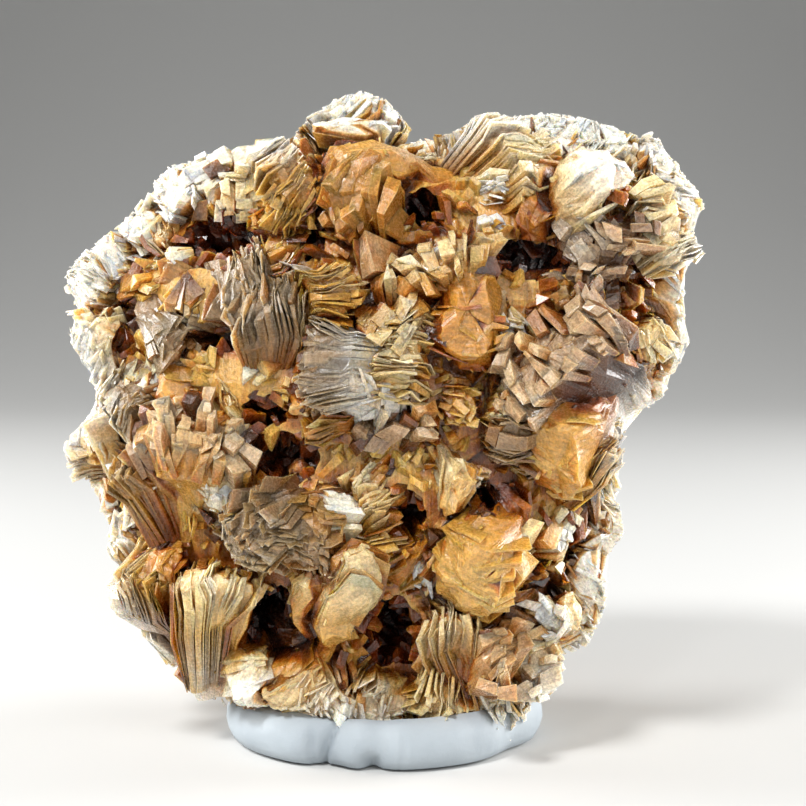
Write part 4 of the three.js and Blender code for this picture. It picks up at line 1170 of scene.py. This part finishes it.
def barite_material():
    # Barite, grown from hot water in fans of thin plates: a glassy mineral clouded by cracks, so
    # light goes in and spreads before it leaves, and iron has stained it brown in the hollows. Its
    # colour is also darkened by how closed in each point is, which paints the shade of hollows and
    # creases into it.
    m = new_material("natural_barite_iron_brown_with_painted_shade")
    tint = add_node(m, "ShaderNodeAttribute", {"attribute_name": "tint"})
    growth = add_node(m, "ShaderNodeAttribute", {"attribute_name": "growth"})
    closed = add_node(m, "ShaderNodeAttribute", {"attribute_name": "closed_in"})
    spot = add_node(m, "ShaderNodeTexCoord")
    fibres = add_node(m, "ShaderNodeMapping", {"Scale": STRIAE_PER_MM},
                      Vector=growth.outputs["Vector"])
    striae = add_node(m, "ShaderNodeTexNoise", {"Scale": 1.0, "Detail": 3.0, "Roughness": 0.6},
                      Vector=fibres.outputs["Vector"])
    grit = add_node(m, "ShaderNodeTexNoise", {"Scale": GRIT_PER_MM / MM, "Detail": 3.0,
                                              "Roughness": 0.65}, Vector=spot.outputs["Object"])
    clouds = add_node(m, "ShaderNodeTexNoise", {"Scale": CLOUDS_PER_MM / MM, "Detail": 2.0,
                                                "Roughness": 0.5}, Vector=spot.outputs["Object"])
    mottle = add_node(m, "ShaderNodeMath", {"operation": "ADD"}, i0=striae.outputs["Fac"],
                      i1=grit.outputs["Fac"])
    bright = add_node(m, "ShaderNodeMapRange", {"From Min": 0.78, "From Max": 1.22, "To Min": 0.6,
                                                "To Max": 1.22}, Value=mottle.outputs["Value"])
    mottled = add_node(m, "ShaderNodeVectorMath", {"operation": "SCALE"},
                       i0=tint.outputs["Color"], Scale=bright.outputs["Result"])
    uneven = add_node(m, "ShaderNodeMapRange", {"From Min": 0.3, "From Max": 0.7, "To Min": -0.12,
                                                "To Max": 0.12}, Value=clouds.outputs["Fac"])
    # Painted shade with the iron stain: the more closed in a point is, the darker and browner.
    depth = add_node(m, "ShaderNodeMath", {"operation": "ADD"}, i0=closed.outputs["Fac"],
                     i1=uneven.outputs["Result"])
    shade_and_stain = add_node(m, "ShaderNodeValToRGB", {}, Fac=depth.outputs["Value"])
    stops = shade_and_stain.color_ramp.elements
    for stop, (place, colour) in zip(stops, (SHADE_AND_STAIN_IN_THE_OPEN, SHADE_AND_STAIN_IN_THE_DEEP)):
        stop.position = place
        stop.color = (*linear(colour), 1)
    for place, colour in SHADE_AND_STAIN_BETWEEN:
        stops.new(place).color = (*linear(colour), 1)
    shaded_and_stained = add_node(m, "ShaderNodeMix", {"data_type": "RGBA", "blend_type": "MULTIPLY",
                                            "Factor": 1.0},
                       i6=mottled.outputs["Vector"], i7=shade_and_stain.outputs["Color"])
    relief = add_node(m, "ShaderNodeBump", {"Strength": 0.5, "Distance": 0.0002},
                      Height=mottle.outputs["Value"])
    gloss = add_node(m, "ShaderNodeMapRange", {"From Min": 0.3, "From Max": 0.7, "To Min": 0.12,
                                               "To Max": 0.38}, Value=grit.outputs["Fac"])
    surface = add_node(m, "ShaderNodeBsdfPrincipled", {
        "IOR": 1.64, "Coat Weight": 0.25, "Coat Roughness": 0.13, "Subsurface Weight": 0.65,
        "Subsurface Radius": (1.0, 0.66, 0.36), "Subsurface Scale": 0.0016},
        Base_Color=shaded_and_stained.outputs[2], Roughness=gloss.outputs["Result"],
        Normal=relief.outputs["Normal"])
    add_node(m, "ShaderNodeOutputMaterial", {}, Surface=surface.outputs["BSDF"])
    return m


barite = barite_material()
for piece in (cluster, rim, small_rim):
    piece.data.materials.clear()
    piece.data.materials.append(barite)

# The putty pad: its size, and its profile from the middle of its foot to the middle of its top,
# as shares of its half width and its height.
PUTTY_SIZE = (27.1, 27.5, 4.8)
PUTTY_SQUASH = 0.36
PUTTY_PROFILE = np.array([(0, 0), (0.5, 0), (0.9, 0.005), (0.95, 0.04), (0.985, 0.16), (1, 0.34),
                          (0.995, 0.5), (0.975, 0.66), (0.93, 0.8), (0.88, 0.9), (0.78, 0.97),
                          (0.6, 1), (0.3, 1), (0, 1)])
# Finger grooves and creases: turn at the foot, turn at the top, depth and width, the heights
# as shares between which they run.
PUTTY_GROOVES = [
    (250, 250, 0.085, 8, 0, 1), (268, 270, 0.04, 6, 0, 1), (325, 325, 0.05, 12, 0, 1),
    (20, 20, 0.06, 12, 0, 1), (95, 95, 0.07, 10, 0, 1), (165, 165, 0.05, 12, 0, 1),
    (246, 254, 0.055, 1.5, 0, 1), (243, 244, 0.03, 1.2, 0, 0.5), (266, 265, 0.08, 3, 0, 0.22),
    (276, 279, 0.014, 0.9, 0.1, 0.6), (300, 306, 0.012, 2.5, 0.3, 0.8),
]
PUTTY_GROOVE_END = 0.06
PUTTY_SIDES = 300
PUTTY_RINGS = 40
# How often the hand's lumps come in a millimetre and how deep they are, and how far the whole
# skin lies inside the profile.
PUTTY_LUMPS = (0.35, 0.22)
PUTTY_SMALL_LUMPS = (1.3, 0.05)
PUTTY_SHRINK = 0.12
PUTTY_GRAIN_PER_MM = 1.5
PUTTY_SMEARS_PER_MM = 0.16


def putty_pad():
    """The pad of putty, pressed by fingers round its side and by the cluster on its top."""
    lengths = np.linalg.norm(np.diff(PUTTY_PROFILE, axis=0) * (1, PUTTY_SQUASH), axis=1)
    path = np.cumsum(np.concatenate([[0], lengths]))
    steps = np.linspace(0.02, path[-1] - 0.02, PUTTY_RINGS)
    reach, rise = (np.interp(steps, path, PUTTY_PROFILE[:, k])[:, None] for k in range(2))
    turns = np.arange(PUTTY_SIDES) * 360 / PUTTY_SIDES
    pressed = np.ones((PUTTY_RINGS, PUTTY_SIDES))
    for low_turn, high_turn, depth, width, low, high in PUTTY_GROOVES:
        away = (turns - (low_turn + (high_turn - low_turn) * rise) + 540) % 360 - 180
        within = np.minimum(rise - low + PUTTY_GROOVE_END, high + PUTTY_GROOVE_END - rise)
        within = np.clip(within / PUTTY_GROOVE_END, 0, 1)
        pressed -= depth * within * np.exp(-((away / width) ** 2))
    radius = reach * pressed
    x = PUTTY_CENTRE[0] + radius * PUTTY_SIZE[0] / 2 * np.cos(np.radians(turns))
    y = PUTTY_CENTRE[1] + radius * PUTTY_SIZE[1] / 2 * np.sin(np.radians(turns))
    bed_radius, bed_height = zip(*BED_PROFILE)
    apart = np.hypot(x - PUTTY_CENTRE[0], y - PUTTY_CENTRE[1])
    z = np.minimum(rise * PUTTY_SIZE[2] * np.ones_like(x),
                   BED_BOTTOM - PUTTY_GAP + np.interp(apart, bed_radius, bed_height))
    rings = np.stack([x, y, z], axis=-1)
    for r in range(1, PUTTY_RINGS):
        for i in range(PUTTY_SIDES):
            point = Vector(rings[r, i])
            lump, small_lump = (noise.noise(point * rate) * depth
                                for rate, depth in (PUTTY_LUMPS, PUTTY_SMALL_LUMPS))
            outward = rings[r, i, :2] - np.array(PUTTY_CENTRE)
            lump = lump + small_lump - PUTTY_SHRINK
            rings[r, i, :2] += outward / (np.linalg.norm(outward) + 3) * lump * min(1, z[r, i])
    vertices, faces = closed_skin(rings)
    pad = mesh_object("mounting_putty_pad", vertices, faces, [0] * len(faces))
    pad.data.attributes.remove(pad.data.attributes["crystal"])
    pad.data.polygons.foreach_set("use_smooth", [True] * len(faces))
    pad.data.transform(Matrix.Scale(MM, 4))
    return pad


def putty_material():
    # Blue-grey mounting putty, rolled and pressed by hand: oily but matte, with a faint grain.
    m = new_material("hand_pressed_mounting_putty")
    spot = add_node(m, "ShaderNodeTexCoord")
    grain = add_node(m, "ShaderNodeTexNoise", {"Scale": PUTTY_GRAIN_PER_MM / MM, "Detail": 3.0,
                                               "Roughness": 0.6}, Vector=spot.outputs["Object"])
    smears = add_node(m, "ShaderNodeTexNoise", {"Scale": PUTTY_SMEARS_PER_MM / MM, "Detail": 2.0,
                                                "Roughness": 0.5}, Vector=spot.outputs["Object"])
    tone = add_node(m, "ShaderNodeValToRGB", {}, Fac=smears.outputs["Fac"])
    for stop, place, colour in zip(tone.color_ramp.elements, (0.3, 0.7), ("#9AA3AA", "#AEB7BD")):
        stop.position = place
        stop.color = (*linear(colour), 1)
    relief = add_node(m, "ShaderNodeBump", {"Strength": 0.35, "Distance": 0.00012},
                      Height=grain.outputs["Fac"])
    surface = add_node(m, "ShaderNodeBsdfPrincipled", {
        "Roughness": 0.62, "IOR": 1.45, "Subsurface Weight": 0.1,
        "Subsurface Radius": (1.0, 1.0, 1.0), "Subsurface Scale": 0.0008},
        Base_Color=tone.outputs["Color"], Normal=relief.outputs["Normal"])
    add_node(m, "ShaderNodeOutputMaterial", {}, Surface=surface.outputs["BSDF"])
    return m


pad = putty_pad()
pad.data.materials.append(putty_material())
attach(pad, "root")
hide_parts("mounting_putty")


def studio_floor_material():
    # Matte painted board: pale and even, with no shine.
    m = new_material("matte_painted_board")
    paint = add_node(m, "ShaderNodeBsdfPrincipled", {"Roughness": 0.85})
    paint.inputs["Base Color"].default_value = (*linear("#C4C4C2"), 1)
    add_node(m, "ShaderNodeOutputMaterial", {}, Surface=paint.outputs["BSDF"])
    return m


# The board, in metres: half its width, where its bend starts, the bend's radius and its top.
BOARD_HALF = 3
BEND_START = 0.3
BEND_RADIUS = 0.5
BOARD_TOP = 2


def curved_backdrop():
    """A board that lies flat under the specimen and sweeps up behind it."""
    bend = [(BEND_START + BEND_RADIUS * math.sin(turn), BEND_RADIUS - BEND_RADIUS * math.cos(turn))
            for turn in np.radians(np.arange(0, 91, 3))]
    section = [(-BOARD_HALF, 0), *bend, (BEND_START + BEND_RADIUS, BOARD_TOP)]
    vertices = [(x, y, z) for y, z in section for x in (-BOARD_HALF, BOARD_HALF)]
    faces = [(2 * k, 2 * k + 1, 2 * k + 3, 2 * k + 2) for k in range(len(section) - 1)]
    mesh = bpy.data.meshes.new("backdrop")
    mesh.from_pydata(vertices, [], faces)
    mesh.polygons.foreach_set("use_smooth", [True] * len(faces))
    return in_scene("backdrop", mesh)


floor = curved_backdrop()
floor.data.materials.append(studio_floor_material())

# The camera, as worked out for the picture: focal length and width in pixels, the
# sensor's width in millimetres, the place in metres and the pitch in degrees.
FOCAL_PIXELS = 1916
PICTURE_PIXELS = 806
SENSOR_WIDTH = 36
CAMERA_PLACE = (0.0022, -0.162, 0.0422)
CAMERA_PITCH = 85
camera_data = bpy.data.cameras.new("camera")
camera_data.lens = SENSOR_WIDTH * FOCAL_PIXELS / PICTURE_PIXELS
camera_data.sensor_width = SENSOR_WIDTH
camera = in_scene("camera", camera_data)
camera.location = CAMERA_PLACE
camera.rotation_euler = (math.radians(CAMERA_PITCH), 0, 0)
bpy.context.scene.camera = camera

# Soft studio lights: place and size in metres, and power in watts.
LIGHTS_AIM = Vector((0, 0, 0.028))
SOFTBOXES = {
    "key": ((-0.16, -0.24, 0.34), 0.08, 1.75),
    "glint": ((-0.09, -0.34, 0.16), 0.03, 0.2),
    "fill": ((0.22, -0.3, 0.16), 0.2, 0.5),
    "rim_left": ((-0.3, 0.08, 0.14), 0.16, 1.5),
    "rim_right": ((0.3, 0.08, 0.12), 0.16, 1.5),
}
SKY_GREY = 0.8
SKY_STRENGTH = 0.2
for name, (place, size, power) in SOFTBOXES.items():
    light = bpy.data.lights.new(name, "AREA")
    light.size = size
    light.energy = power
    softbox = in_scene(name, light)
    softbox.location = place
    softbox.rotation_euler = (LIGHTS_AIM - Vector(place)).to_track_quat("-Z", "Y").to_euler()

world = bpy.data.worlds.new("studio")
bpy.context.scene.world = world
world.use_nodes = True
sky = world.node_tree.nodes["Background"]
sky.inputs["Color"].default_value = (SKY_GREY, SKY_GREY, SKY_GREY, 1)
sky.inputs["Strength"].default_value = SKY_STRENGTH
bpy.context.scene.view_settings.view_transform = "Standard"
